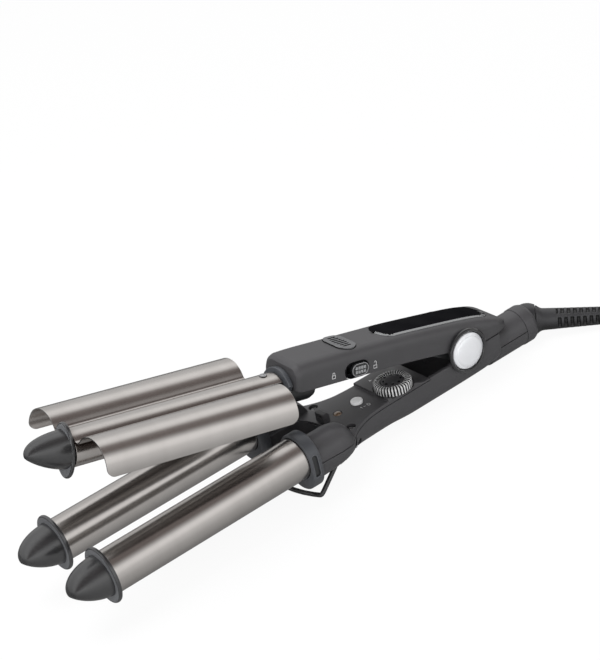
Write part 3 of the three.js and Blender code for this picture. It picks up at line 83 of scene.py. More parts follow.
# %% [markdown]
# ## Camera first
# The photograph was matched by its silhouettes. The camera looks along a line 31.6 degrees
# round and 28.8 degrees down, is rolled by 13.2 degrees, and has a long 120 mm lens.

# %% Camera
CAMERA_AT = np.array([-350.5, -807.8, 570.7])
CAMERA_ROUND, CAMERA_UP, CAMERA_ROLL = (math.radians(v) for v in (-31.641, 28.765, -13.215))


def camera_axes():
    """Right, up and back vectors: back from the two angles, the others turned by the roll."""
    a, e, r = CAMERA_ROUND, CAMERA_UP, CAMERA_ROLL
    back = np.array([math.sin(a) * math.cos(e), -math.cos(a) * math.cos(e), math.sin(e)])
    side = np.cross(-back, [0, 0, 1])
    side /= np.linalg.norm(side)
    top = np.cross(side, -back)
    right = math.cos(r) * side + math.sin(r) * top
    return right, math.cos(r) * top - math.sin(r) * side, back


def photo_camera():
    """Long lens camera. Its three axes are the columns of its matrix."""
    data = bpy.data.cameras.new("photo_camera")
    data.lens, data.sensor_width = 120, 36
    data.clip_start, data.clip_end = 0.05, 20
    camera = bpy.data.objects.new("photo_camera", data)
    bpy.context.scene.collection.objects.link(camera)
    right, up, back = camera_axes()
    columns = [*right, *up, *back]
    spot = lower(CAMERA_AT)
    for row in range(3):
        for column in range(3):
            camera.matrix_world[row][column] = columns[column * 3 + row]
        camera.matrix_world[row][3] = spot[row]
    bpy.context.scene.camera = camera
    return camera


camera = photo_camera()
print("camera at", [round(v, 3) for v in camera.matrix_world.translation])

# %% [markdown]
# ## Table, background and light
# The photograph has a white background and no visible shadow. The floor glows white for
# the camera but still takes a faint shadow. Satin metal shows whatever stands round it, so
# the world has a studio painted in it by direction: a bright strip on the camera's side,
# one above and behind, and a dark ceiling between them.

# %% Nodes by name
def wire(tree, kind, inputs=(), **settings):
    """Adds a shader node, sets its fields, and links or sets its inputs, given as {name: value}."""
    made = tree.nodes.new("ShaderNode" + kind)
    for key, value in settings.items():
        setattr(made, key, value)
    for key, value in dict(inputs).items():
        socket = made.inputs[key]
        if isinstance(value, bpy.types.NodeSocket):
            tree.links.new(value, socket)
        else:
            socket.default_value = value
    return made


def ramp(tree, fac, stops):
    """Colour ramp from a list of (position, grey or colour)."""
    made = wire(tree, "ValToRGB", {"Fac": fac})
    elements = made.color_ramp.elements
    while len(elements) < len(stops):
        elements.new(0.5)
    for element, (position, colour) in zip(elements, stops):
        element.position = position
        grey = isinstance(colour, (int, float))
        element.color = (colour, colour, colour, 1) if grey else (*colour, 1)
    return made.outputs["Color"]


def maths(tree, operation, *values):
    """One Math node on the values given. Its result comes back."""
    return wire(tree, "Math", dict(enumerate(values)), operation=operation).outputs[0]


def mix_shaders(tree, share, first, second):
    """The first shader where the share is 0, the second where it is 1."""
    return wire(tree, "MixShader", {0: share, 1: first, 2: second}).outputs[0]


def around_x(tree, way):
    """Angle of a direction about X: atan2(z, y), from -pi to pi."""
    parts = wire(tree, "SeparateXYZ", {0: way})
    return maths(tree, "ARCTAN2", parts.outputs["Z"], parts.outputs["Y"])


def ray_kinds(tree):
    """Two masks: rays that a mirror or a lens sends on, and rays of the camera."""
    path = wire(tree, "LightPath")
    mirror = maths(tree, "MAXIMUM", path.outputs["Is Glossy Ray"], path.outputs["Is Transmission Ray"])
    return mirror, path.outputs["Is Camera Ray"]


def blank_material(name):
    """A material with an empty tree."""
    made = bpy.data.materials.new(name)
    made.use_nodes = True
    made.node_tree.nodes.clear()
    return made, made.node_tree


# %% World
STUDIO = [
    (-180, 0.66), (-90, 0.42), (-30, 0.55), (0, 0.5), (35, 0.62), (58, 0.95), (78, 0.9),
    (96, (0.2, 0.175, 0.17)), (124, (0.15, 0.128, 0.122)), (138, 0.5), (150, 0.98), (168, 0.95),
    (180, 0.66),
]
STUDIO_GAIN = 1.25
AMBIENT = 0.45
WHITE = (1, 1, 1, 1)


def background(tree, colour, strength):
    """Light of one colour, or of a ramp's colours by direction."""
    return wire(tree, "Background", {"Color": colour, "Strength": strength}).outputs[0]


def studio_world():
    """Mirrors see the painted studio, matt surfaces get even light, and the camera sees white."""
    world = bpy.data.worlds.new("studio")
    bpy.context.scene.world = world
    world.use_nodes = True
    tree = world.node_tree
    tree.nodes.clear()
    angle = around_x(tree, wire(tree, "TexCoord").outputs["Generated"])
    share = wire(tree, "MapRange", {"Value": angle, "From Min": -math.pi, "From Max": math.pi})
    seen = ramp(tree, share.outputs[0], [((a + 180) / 360, v) for a, v in STUDIO])
    mirror, camera_ray = ray_kinds(tree)
    even = background(tree, WHITE, AMBIENT)
    light = mix_shaders(tree, mirror, even, background(tree, seen, STUDIO_GAIN))
    last = mix_shaders(tree, camera_ray, light, background(tree, WHITE, 1.0))
    wire(tree, "OutputWorld", {"Surface": last})


studio_world()
bpy.context.scene.view_settings.view_transform = "Standard"

# %% Floor
FLOOR_GLOW = 0.93
FLOOR_TONES = [(0.0, 0.9), (0.18, 0.6), (0.38, 0.42), (0.5, 0.3), (0.8, 0.2), (1.0, 0.2)]


def floor_material():
    """Nearly all glow for the camera, tones by angle for mirrors, matt for other light."""
    made, tree = blank_material("pale_table")
    mirror, camera_ray = ray_kinds(tree)
    part = maths(tree, "MAXIMUM", mirror, maths(tree, "MULTIPLY", camera_ray, FLOOR_GLOW))
    angle = around_x(tree, wire(tree, "NewGeometry").outputs["Incoming"])
    tone = ramp(tree, maths(tree, "DIVIDE", angle, math.pi), FLOOR_TONES)
    level = wire(tree, "Mix", {"Factor": mirror, "A": WHITE, "B": tone}, data_type="RGBA")
    matt = wire(tree, "BsdfDiffuse", {"Color": (0.82, 0.82, 0.83, 1)}).outputs[0]
    glow = wire(tree, "Emission", {"Color": level.outputs["Result"], "Strength": 1.0}).outputs[0]
    wire(tree, "OutputMaterial", {"Surface": mix_shaders(tree, part, matt, glow)})
    return made


def lay_floor(half):
    """One large square at the table's height, not attached to any body of the tool."""
    mesh = bpy.data.meshes.new("floor")
    corners = [(-half, -half, 0), (half, -half, 0), (half, half, 0), (-half, half, 0)]
    mesh.from_pydata(corners, [], [(0, 1, 2, 3)])
    floor = bpy.data.objects.new("floor", mesh)
    mesh.materials.append(floor_material())
    bpy.context.scene.collection.objects.link(floor)


lay_floor(4.0)

# %% Lamps
def soft_lamp(name, at, aim, size, power):
    """A large square lamp, in metres and watts, that mirrors don't show."""
    data = bpy.data.lights.new(name, "AREA")
    data.size, data.energy = size, power
    lamp = bpy.data.objects.new(name, data)
    lamp.location = at
    lamp.rotation_mode = "QUATERNION"
    lamp.rotation_quaternion = (Vector(aim) - Vector(at)).to_track_quat("-Z", "Y")
    lamp.visible_glossy = False
    bpy.context.scene.collection.objects.link(lamp)
    return lamp


LAMPS = [
    soft_lamp("overhead", (-0.3, 0.15, 1.3), (0.0, 0.0, 0.05), 0.9, 17),
    soft_lamp("camera_side", (-0.9, -0.8, 0.8), (0.0, 0.0, 0.05), 0.8, 9.5),
]
print("lamps", [lamp.name for lamp in LAMPS])

# %% [markdown]
# ## Surfaces from arrays
# A piece is a grid of points: rows along it, columns round it. The helpers below turn such
# a grid into a closed mesh, smooth it except at its edges, and cut one shape with another.

# %% Mesh helpers
def mesh_of(name, points, faces, sharp=32):
    """Closed mesh from points in metres: doubles merged, faces outwards, edges sharp above an angle."""
    mesh = bpy.data.meshes.new(name)
    mesh.from_pydata(np.asarray(points).reshape(-1, 3).tolist(), [], faces)
    shape = bmesh.new()
    shape.from_mesh(mesh)
    bmesh.ops.remove_doubles(shape, verts=shape.verts, dist=2e-6)
    bmesh.ops.dissolve_degenerate(shape, edges=shape.edges, dist=1e-7)
    bmesh.ops.recalc_face_normals(shape, faces=shape.faces)
    shape.to_mesh(mesh)
    shape.free()
    obj = bpy.data.objects.new(name, mesh)
    bpy.context.scene.collection.objects.link(obj)
    return soften(obj, sharp)


def soften(obj, sharp=32):
    """Smooth shading that stops at edges sharper than the angle, in degrees."""
    obj.data.shade_smooth()
    obj.data.set_sharp_from_angle(angle=math.radians(sharp))
    return obj


def grid_faces(rows, columns, ring=False):
    """Quads between neighbouring rows and columns. Columns always close, rows close for a ring."""
    last = rows if ring else rows - 1
    i, j = np.meshgrid(np.arange(last), np.arange(columns), indexing="ij")
    n, k = (i + 1) % rows, (j + 1) % columns
    quads = np.stack([i * columns + j, i * columns + k, n * columns + k, n * columns + j], -1)
    return quads.reshape(-1, 4).tolist()


def skin(name, grid, place=lower, ring=False, sharp=32):
    """Closed surface through a grid of points (rows, columns, 3), with flat ends unless it is a ring."""
    rows, columns = grid.shape[:2]
    faces = grid_faces(rows, columns, ring)
    if not ring:
        faces += [list(range(columns)), list(range((rows - 1) * columns, rows * columns))]
    return mesh_of(name, place(grid), faces, sharp)


def rounded(profile, radius, steps=4, closed=False):
    """Profile with its corners replaced by arcs of about that radius: quadratic curves from side to side."""
    p = np.asarray(profile, float)
    before, after = np.roll(p, 1, 0), np.roll(p, -1, 0)
    out = []
    for i, (a, b, c) in enumerate(zip(before, p, after)):
        if not closed and i in (0, len(p) - 1):
            out.append(b[None])
            continue
        la, lc = np.linalg.norm(a - b), np.linalg.norm(c - b)
        reach = min(radius, la * 0.45, lc * 0.45)
        s, e = b + (a - b) * reach / max(la, 1e-9), b + (c - b) * reach / max(lc, 1e-9)
        t = np.linspace(0, 1, steps + 1)[:, None]
        out.append((1 - t) ** 2 * s + 2 * t * (1 - t) * b + t**2 * e)
    return np.concatenate(out)


def turned_grid(profile, axis="x", at=(0, 0, 0), n=64):
    """Lathe: (along, radius) turned about an axis. Point = at + along A + radius (cos a B + sin a C)."""
    p = np.asarray(profile, float)
    a = np.linspace(0, 2 * math.pi, n, endpoint=False)
    along, radius = p[:, 0, None] + 0 * a, p[:, 1, None]
    c, s = radius * np.cos(a), radius * np.sin(a)
    order = {"x": (along, c, s), "y": (s, along, c), "z": (c, s, along)}[axis]
    return np.stack(order, -1) + np.asarray(at, float)


def turned(name, profile, axis="x", at=(0, 0, 0), n=64, place=lower, corner=0.0, ring=False, sharp=32):
    """Turned piece. A profile with a hole is given as a closed loop, and ring is True."""
    p = rounded(profile, corner, closed=ring) if corner else np.asarray(profile, float)
    return skin(name, turned_grid(p, axis, at, n), place, ring, sharp)


def rod(axis, r, a, b, at=(0, 0, 0), place=lower, n=48):
    """Plain cylinder from a to b along an axis, mostly used as a tool."""
    return turned("tool", [(a, 0), (a, r), (b, r), (b, 0)], axis, at, n, place)


def slab(outline, axis, a, b, place=lower, sharp=32):
    """Prism of an outline of (first, second) coordinates, from a to b along the axis."""
    o = np.asarray(outline, float)
    ends = [np.insert(o, "xyz".index(axis), level, axis=1) for level in (a, b)]
    return skin("tool", np.stack(ends), place, False, sharp)


def block(x0, x1, y0, y1, z0, z1, place=lower):
    """Box between two values along each axis."""
    return slab([(x0, y0), (x1, y0), (x1, y1), (x0, y1)], "z", z0, z1, place)


def cross_slot(x, y, long, thin, z0, z1, place=lower):
    """Two crossed bars, given by their half lengths and half widths, that cut a screw's head."""
    return (block(x - thin, x + thin, y - long, y + long, z0, z1, place),
            block(x - long, x + long, y - thin, y + thin, z0, z1, place))


def carve(obj, *tools, how="DIFFERENCE"):
    """Exact boolean with each tool in turn. The tools are used up."""
    for tool in tools:
        cut = obj.modifiers.new("cut", "BOOLEAN")
        cut.object, cut.operation, cut.solver = tool, how, "EXACT"
        graph = bpy.context.evaluated_depsgraph_get()
        made = bpy.data.meshes.new_from_object(obj.evaluated_get(graph))
        old = obj.data
        obj.modifiers.clear()
        obj.data = made
        bpy.data.meshes.remove(old)
        bpy.data.meshes.remove(tool.data)
    return soften(obj)


def twin(obj, name):
    """A second object with its own copy of the mesh."""
    made = bpy.data.objects.new(name, obj.data.copy())
    bpy.context.scene.collection.objects.link(made)
    return made


# %% [markdown]
# ## Sections and stations
# The grips are moulded shells whose section changes along their length. A short table of
# stations gives half width, bottom, top and corner radii, and a smooth curve joins them.

# %% Section helpers
def smooth_table(table, step=1.5):
    """Monotone cubic through the rows of a table: slopes are harmonic means, so nothing overshoots."""
    t = np.asarray(table, float)
    x, y = t[:, 0], t[:, 1:]
    h = np.diff(x)[:, None]
    d = np.diff(y, axis=0) / h
    same = d[:-1] * d[1:] > 0
    w1, w2 = 2 * h[1:] + h[:-1], h[1:] + 2 * h[:-1]
    safe = np.where(same, d[:-1], 1), np.where(same, d[1:], 1)
    inner = np.where(same, (w1 + w2) / (w1 / safe[0] + w2 / safe[1]), 0)
    m = np.concatenate([d[:1], inner, d[-1:]])
    xs = np.unique(np.concatenate([np.arange(x[0], x[-1], step), x]))
    i = np.clip(np.searchsorted(x, xs, side="right") - 1, 0, len(x) - 2)
    s = ((xs - x[i]) / (x[i + 1] - x[i]))[:, None]
    hi = h[i]
    out = (1 + 2 * s) * (1 - s) ** 2 * y[i] + s * (1 - s) ** 2 * hi * m[i]
    out += s * s * (3 - 2 * s) * y[i + 1] + s * s * (s - 1) * hi * m[i + 1]
    return np.column_stack([xs, out])


def section_grid(table, corner=7, flat=5):
    """Rows of rounded rectangles: x, half width, bottom, top, low corner radius, high corner radius."""
    x, half, low, high, r_low, r_high = np.asarray(table, float).T
    r_high = np.clip(r_high, 0.05, np.minimum(half, (high - low) / 2) - 0.02)
    r_low = np.clip(r_low, 0.05, np.minimum(half, high - low - r_high) - 0.02)
    a = np.linspace(0, math.pi / 2, corner + 1)
    parts = []
    upper_corners = [(half, high, r_high, 1, 1, 0), (-half, high, r_high, -1, 1, 1)]
    lower_corners = [(-half, low, r_low, -1, -1, 2), (half, low, r_low, 1, -1, 3)]
    for edge, level, r, sy, sz, quarter in upper_corners + lower_corners:
        angle = a[None] + quarter * math.pi / 2
        y = (edge - sy * r)[:, None] + r[:, None] * np.cos(angle)
        z = (level - sz * r)[:, None] + r[:, None] * np.sin(angle)
        parts.append(np.stack([y, z], -1))
    rows = []
    for k, part in enumerate(parts):
        after = parts[(k + 1) % 4][:, :1]
        t = (np.arange(1, flat + 1) / (flat + 1))[None, :, None]
        rows += [part, part[:, -1:] * (1 - t) + after * t]
    ring = np.concatenate(rows, 1)
    return np.concatenate([np.broadcast_to(x[:, None, None], ring[..., :1].shape), ring], -1)


def oval_grid(table, n=72):
    """Rows of half ovals: x, centre y, half width, bottom, top."""
    x, yc, half, low, high = (c[:, None] for c in np.asarray(table, float).T)
    a = np.linspace(0, 2 * math.pi, n, endpoint=False)
    mid, tall = (low + high) / 2, (high - low) / 2
    y, z = yc + half * np.cos(a), mid + tall * np.sin(a)
    return np.stack([x + 0 * y, y, z], -1)


print("helpers ready")

# %% [markdown]
# ## Effects that several finishes share
# Moulded plastic has a fine stipple, and its edges carry a little painted highlight. Coated metal has a grain
# that runs round the tube. Each effect is one node group with its own inputs, so every
# finish can place it with other values.

# %% Node groups
def new_group(name, inputs, outputs):
    """Empty node group with its sockets: {name: (type, default)} in, {name: type} out."""
    group = bpy.data.node_groups.new(name, "ShaderNodeTree")
    for label, (kind, value) in inputs.items():
        socket = group.interface.new_socket(label, in_out="INPUT", socket_type=kind)
        socket.default_value = value
    for label, kind in outputs.items():
        group.interface.new_socket(label, in_out="OUTPUT", socket_type=kind)
    return group, group.nodes.new("NodeGroupInput"), group.nodes.new("NodeGroupOutput")


def noise(tree, spot, scale, detail):
    """One noise texture over the given points. Its grey comes back."""
    return wire(tree, "TexNoise", {"Vector": spot, "Scale": scale, "Detail": detail}).outputs["Fac"]


def grain_group():
    """Two noises over object coordinates: broad tone, and fine height. Stretch scales each axis."""
    inputs = {
        "Stretch": ("NodeSocketVector", (1, 1, 1)), "Turn": ("NodeSocketFloat", 0.0),
        "Fine Scale": ("NodeSocketFloat", 2500.0), "Broad Scale": ("NodeSocketFloat", 60.0),
    }
    outputs = {"Tone": "NodeSocketFloat", "Height": "NodeSocketFloat"}
    group, given, out = new_group("moulded_grain", inputs, outputs)
    spot = wire(group, "TexCoord").outputs["Object"]
    turn = {"Vector": spot, "Angle": given.outputs["Turn"]}
    straight = wire(group, "VectorRotate", turn, rotation_type="Y_AXIS")
    stretch = {0: straight.outputs[0], 1: given.outputs["Stretch"]}
    scaled = wire(group, "VectorMath", stretch, operation="MULTIPLY").outputs[0]
    group.links.new(noise(group, scaled, given.outputs["Broad Scale"], 3.0), out.inputs["Tone"])
    group.links.new(noise(group, scaled, given.outputs["Fine Scale"], 2.0), out.inputs["Height"])
    return group


def edge_group():
    """Rounded normal at edges, and a mask for a painted edge highlight that is 1 where it turns away from the
    flat one.
    """
    outputs = {"Mask": "NodeSocketFloat", "Normal": "NodeSocketVector"}
    # The mask places a painted highlight along edges.
    group, given, out = new_group("rounded_edge_highlight", {"Radius": ("NodeSocketFloat", 0.0004)}, outputs)
    soft = wire(group, "Bevel", {"Radius": given.outputs["Radius"]}, samples=6)
    plain = wire(group, "NewGeometry").outputs["Normal"]
    same = wire(group, "VectorMath", {0: soft.outputs[0], 1: plain}, operation="DOT_PRODUCT")
    turned_away = {"Value": same.outputs["Value"], "From Min": 0.995, "From Max": 0.8}
    away = wire(group, "MapRange", turned_away)
    group.links.new(away.outputs[0], out.inputs["Mask"])
    group.links.new(soft.outputs[0], out.inputs["Normal"])
    return group


GRAIN, EDGE = grain_group(), edge_group()


def place_group(tree, group, **values):
    """Puts a group into a material with its own values. An underscore stands for a space."""
    node = wire(tree, "Group", node_tree=group)
    for key, value in values.items():
        node.inputs[key.replace("_", " ")].default_value = value
    return node


print("groups", [g.name for g in bpy.data.node_groups])

# %% [markdown]
# ## Finishes
# One function makes every opaque finish. Its colour runs between two close tones of the
# grain, its edges carry a little painted highlight, and its roughness breathes with the grain.
# Numbers that are the same all over sit on the shader's own sockets.

# %% Finish maker
HOLLOW_REACH = 0.022


def paint_hollow_shade(tree, base, hollow_shade):
    """Painted shade in hollows: multiplies a colour by a tone where other surfaces close in, from ambient
    occlusion through a ramp.
    """
    near = wire(tree, "AmbientOcclusion", {"Distance": HOLLOW_REACH}, samples=8)
    shade = ramp(tree, near.outputs["AO"], [(0.5, hollow_shade), (0.94, 1.0)])
    both = {"Factor": 1.0, "A": base, "B": shade}
    return wire(tree, "Mix", both, data_type="RGBA", blend_type="MULTIPLY").outputs["Result"]


def finish(name, dark, light, rough, metal=0.0, spread=0.05, stretch=(1, 1, 1), turn=0.0, fine=2500.0,
           broad=60.0, bump=0.06, bump_mm=0.02, edge=None, edge_highlight_share=0.35, radius=0.0004, coat=0.0,
           spec=0.5, hollow_shade=None):
    """Principled finish: two tones, a roughness range, a grain, a painted edge highlight, perhaps painted
    shade in hollows.
    """
    made, tree = blank_material(name)
    grain = place_group(tree, GRAIN, Stretch=stretch, Turn=turn, Fine_Scale=fine, Broad_Scale=broad)
    height = grain.outputs["Height"]
    # Rounded normals at edges, and the mask of their painted highlight.
    edge_bevel_highlight = place_group(tree, EDGE, Radius=radius)
    levels = {"Value": grain.outputs["Tone"], "From Min": 0.3, "From Max": 0.7}
    tone = wire(tree, "MapRange", levels)
    colour = ramp(tree, tone.outputs[0], [(0.0, dark), (1.0, light)])
    # Tone of the painted edge highlight: a lighter copy of the light tone unless one is given.
    rim = tuple(min(1, 1.7 * v + 0.02) for v in light) if edge is None else edge
    mixed = {"Factor": maths(tree, "MULTIPLY", edge_bevel_highlight.outputs["Mask"], edge_highlight_share), "A": colour, "B": (*rim, 1)}
    base = wire(tree, "Mix", mixed, data_type="RGBA").outputs["Result"]
    # Painted shade where other surfaces close in, for finishes that ask for it.
    if hollow_shade:
        base = paint_hollow_shade(tree, base, hollow_shade)
    limits = {"Value": height, "To Min": rough - spread, "To Max": rough + spread}
    roughness = wire(tree, "MapRange", limits)
    relief = {"Height": height, "Normal": edge_bevel_highlight.outputs["Normal"], "Strength": bump, "Distance": bump_mm * MM}
    raised = wire(tree, "Bump", relief)
    shader = wire(tree, "BsdfPrincipled", {
        "Base Color": base, "Roughness": roughness.outputs[0], "Normal": raised.outputs[0], "Metallic": metal,
        "Coat Weight": coat, "Coat Roughness": 0.08, "Specular IOR Level": spec,
    })
    wire(tree, "OutputMaterial", {"Surface": shader.outputs[0]})
    return made


# %% Blacks and greys
SOFT_BLACK = finish("soft_touch_black", (0.043, 0.042, 0.0445), (0.049, 0.048, 0.051), 0.44, fine=5200,
                    bump=0.05)
# The collar's light rims are a painted highlight along its edges.
COLLAR_GREY = finish("collar_grey", (0.046, 0.049, 0.055), (0.056, 0.059, 0.066), 0.36, fine=4200, bump=0.08,
                     edge=(0.3, 0.31, 0.33), edge_highlight_share=0.6, radius=0.0005)
# The tips' light rim is a painted highlight along their edges.
TIP_GREY = finish("heatproof_tip", (0.011, 0.011, 0.012), (0.017, 0.017, 0.018), 0.3, fine=3800, bump=0.1,
                  coat=0.3, spec=0.9, edge=(0.22, 0.225, 0.24), edge_highlight_share=0.6, radius=0.0005)
WEB_BLACK = finish("deep_black", (0.012, 0.013, 0.014), (0.018, 0.019, 0.02), 0.4)
GLOSS_BLACK = finish("piano_black", (0.006, 0.006, 0.007), (0.01, 0.01, 0.011), 0.12, spread=0.02, bump=0.01,
                     spec=0.0, radius=0.0003)
# The vent's light edges are a painted highlight, and its dark slots painted shade.
VENT_GREY = finish("vent_grey", (0.085, 0.086, 0.09), (0.1, 0.101, 0.105), 0.3, bump=0.04,
                   edge=(0.4, 0.4, 0.42), edge_highlight_share=0.5, radius=0.0003, hollow_shade=(0.05, 0.05, 0.05))
# The lighter strip on the inlay's near edge is a painted highlight.
INLAY_EDGE_HIGHLIGHT = finish("inlay_edge_painted_highlight", (0.15, 0.152, 0.156), (0.18, 0.182, 0.187), 0.2, bump=0.02, coat=0.3)
# The lighter ring on each disc's face is a painted reflection.
DISC_FACE_REFLECTION = finish("disc_face_painted_reflection", (0.1, 0.103, 0.11), (0.13, 0.133, 0.14), 0.38, fine=3800, bump=0.1)
BALL_BLACK = finish("ball_black", (0.018, 0.018, 0.02), (0.024, 0.024, 0.026), 0.36, bump=0.03)
# The thin ring's bright edges are a painted highlight.
RING_BLACK = finish("polished_ring", (0.01, 0.01, 0.011), (0.016, 0.016, 0.017), 0.08, spread=0.02, bump=0.01,
                    coat=0.5, edge=(0.75, 0.75, 0.77), edge_highlight_share=0.9, radius=0.0003)
STUD_GREY = finish("stud_grey", (0.24, 0.245, 0.25), (0.3, 0.305, 0.31), 0.3, bump=0.02)
RIM_GREY = finish("rim_grey", (0.3, 0.3, 0.31), (0.36, 0.36, 0.37), 0.25, metal=0.5, bump=0.02)
WIRE_BLACK = finish("lacquered_wire", (0.014, 0.014, 0.015), (0.02, 0.02, 0.022), 0.2, spread=0.04, bump=0.03,
                    coat=0.4, radius=0.0001)
# Painted shade where other surfaces close in, as between the cord's turns.
RUBBER = finish("cord_rubber", (0.022, 0.022, 0.024), (0.03, 0.03, 0.032), 0.42, fine=2600, bump=0.12,
                hollow_shade=(0.15, 0.15, 0.15))
print("black and grey finishes", len(bpy.data.materials))

# %% Metals, paint and inner parts
# The tubes' and sheet's bright lips are a painted highlight along their edges.
COATED_TUBE = dict(metal=1.0, spread=0.03, stretch=(3.0, 0.35, 0.35), fine=900, broad=40, bump=0.03,
                   bump_mm=0.01, edge=(0.85, 0.84, 0.82), edge_highlight_share=0.8, radius=0.00025)
TITANIUM = finish("satin_titanium", (0.50, 0.475, 0.455), (0.53, 0.505, 0.485), 0.25, **COATED_TUBE)
# Brownish painted shade where other surfaces close in, as on the sheet's inner side.
TITANIUM_SHEET = finish("satin_titanium_sheet", (0.52, 0.495, 0.475), (0.55, 0.525, 0.505), 0.24, turn=-OPEN,
                        hollow_shade=(0.24, 0.19, 0.18), **COATED_TUBE)
STEEL = finish("plain_steel", (0.55, 0.55, 0.56), (0.62, 0.62, 0.63), 0.28, metal=1.0, fine=1500, bump=0.05)
SATIN_SILVER = finish("satin_silver", (0.8, 0.81, 0.83), (0.86, 0.87, 0.89), 0.3, metal=0.3, spread=0.03,
                      fine=3000, bump=0.02, edge=(0.85, 0.85, 0.87))
BUTTON_SILVER = finish("silver_paint", (0.97, 0.975, 0.98), (1.0, 1.0, 1.0), 0.25, fine=6000, bump=0.04)
AMBER = finish("amber_lens", (0.16, 0.105, 0.07), (0.23, 0.155, 0.1), 0.14, fine=1500, bump=0.08, coat=0.7)
MARK_WHITE = finish("printed_white", (0.72, 0.72, 0.72), (0.8, 0.8, 0.8), 0.5, bump=0.02,
                    edge=(0.8, 0.8, 0.8))
BRASS = finish("plated_brass", (0.66, 0.54, 0.27), (0.72, 0.6, 0.32), 0.2, metal=1.0, bump=0.02)
CERAMIC = finish("heater_ceramic", (0.66, 0.64, 0.58), (0.74, 0.72, 0.66), 0.6, fine=1800, bump=0.1)
BOARD_GREEN = finish("board_green", (0.01, 0.09, 0.035), (0.015, 0.12, 0.05), 0.3, fine=700, bump=0.1)
MOULDED = finish("moulded_switch", (0.03, 0.03, 0.03), (0.045, 0.045, 0.045), 0.45)


# %% Finish of the clear ring, with painted light and shade
def knurl_light_and_shade(name, centre, count):
    """Clear ring with a painted highlight on each ridge and painted shade in each groove: |cos(count a / 2)|
    of the angle a is 1 on each ridge and 0 in each groove.
    """
    made, tree = blank_material(name)
    spot = wire(tree, "TexCoord").outputs["Object"]
    about = wire(tree, "VectorMath", {0: spot, 1: tuple(lower(centre))}, operation="SUBTRACT")
    parts = wire(tree, "SeparateXYZ", {0: about.outputs[0]})
    angle = maths(tree, "ARCTAN2", parts.outputs["Y"], parts.outputs["X"])
    ridge = maths(tree, "ABSOLUTE", maths(tree, "COSINE", maths(tree, "MULTIPLY", angle, count / 2)))
    # Painted shade in the grooves and painted highlight on the ridges.
    tone = ramp(tree, ridge, [(0.0, 0.006), (0.6, 0.012), (0.82, 0.45), (1.0, 0.7)])
    grain = place_group(tree, GRAIN, Fine_Scale=1200.0, Broad_Scale=300.0)
    height = grain.outputs["Height"]
    rough = wire(tree, "MapRange", {"Value": height, "To Min": 0.14, "To Max": 0.24})
    raised = wire(tree, "Bump", {"Height": height, "Strength": 0.04, "Distance": 0.02 * MM})
    shader = wire(tree, "BsdfPrincipled", {
        "Base Color": tone, "Roughness": rough.outputs[0], "Normal": raised.outputs[0],
        "Metallic": 0.25, "Coat Weight": 0.5, "Coat Roughness": 0.05,
    })
    wire(tree, "OutputMaterial", {"Surface": shader.outputs[0]})
    return made


DIAL, DIAL_ROOM, KNURLS = (190, -6.5, 0), 10.7, 36
KNURL_PAINTED_LIGHT = knurl_light_and_shade("knurls_painted_light_and_shade", DIAL, KNURLS)
print("finishes", len(bpy.data.materials))


def adopt(obj, body, material, *nodes, name=None):
    """Names and paints a piece, hides the CAD nodes it stands for, and lets it ride on its body."""
    obj.name = name or obj.name
    obj.data.materials.clear()
    obj.data.materials.append(material)
    if nodes:
        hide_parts(*nodes)
    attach(obj, body)
    print(obj.name, len(obj.data.polygons), "faces")
    return obj


def dress(node, body, material):
    """Smooth copy of a CAD node whose shape is right: merged points, soft shading, sharp edges kept."""
    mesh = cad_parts[node].data.copy()
    shape = bmesh.new()
    shape.from_mesh(mesh)
    bmesh.ops.remove_doubles(shape, verts=shape.verts, dist=2e-6)
    bmesh.ops.dissolve_limit(shape, angle_limit=math.radians(0.5), verts=shape.verts, edges=shape.edges)
    shape.to_mesh(mesh)
    shape.free()
    obj = bpy.data.objects.new(node + "_shape", mesh)
    bpy.context.scene.collection.objects.link(obj)
    soften(obj)
    return adopt(obj, body, material, node)


# %% [markdown]
# ## The cord, its coil and the plug
# A mains lead is one length of rubber. It leaves the strain relief, comes down to the
# table, runs on, and is wound in two layers of a neat coil for storage. The route is the
# same as the solids': a straight run, then a spiral in, a step up and a spiral out.

# %% Cord route
RELIEF_DIR = np.array([0.752, -0.655, -0.1])
RELIEF_DIR = RELIEF_DIR / np.linalg.norm(RELIEF_DIR)
BALL = np.array([288.0, 0.0, -16.6])
RELIEF_TIP = BALL + 60 * RELIEF_DIR
FLAT_DIR = np.array([RELIEF_DIR[0], RELIEF_DIR[1], 0])
FLAT_DIR = FLAT_DIR / np.linalg.norm(FLAT_DIR)
SIDE = np.array([-FLAT_DIR[1], FLAT_DIR[0], 0])
CORD_R, CORD_RUN = 3.5, 44.0
COIL_OUTER, COIL_PITCH, COIL_TURNS = 52.0, 7.7, 7.0
TAIL_STEPS, TAIL_IN, PLUG_LIFT = 7, 13.0, 15.8
COIL_Z = -27 + 0.9 + CORD_R
COIL_CENTRE = RELIEF_TIP + CORD_RUN * FLAT_DIR + COIL_OUTER * SIDE
COIL_HALF = (COIL_TURNS - 0.5) / 2


def run_points():
    """From the relief's end along its direction, then down to the table level."""
    first = RELIEF_TIP + 0.3 * RELIEF_DIR
    second = RELIEF_TIP + 2 * CORD_R * RELIEF_DIR
    low = max(second[2], COIL_Z)
    points = [first, second]
    for s, z in ((20, COIL_Z + 0.2 * (low - COIL_Z)), (30, COIL_Z)):
        point = RELIEF_TIP + s * FLAT_DIR
        points.append([point[0], point[1], z])
    return np.array(points)


def about_coil(r, turn, z):
    """Points at a radius and after a number of turns about the coil's centre."""
    a = math.atan2(-SIDE[1], -SIDE[0]) + 2 * math.pi * turn
    return np.column_stack([COIL_CENTRE[0] + r * np.cos(a), COIL_CENTRE[1] + r * np.sin(a), z])


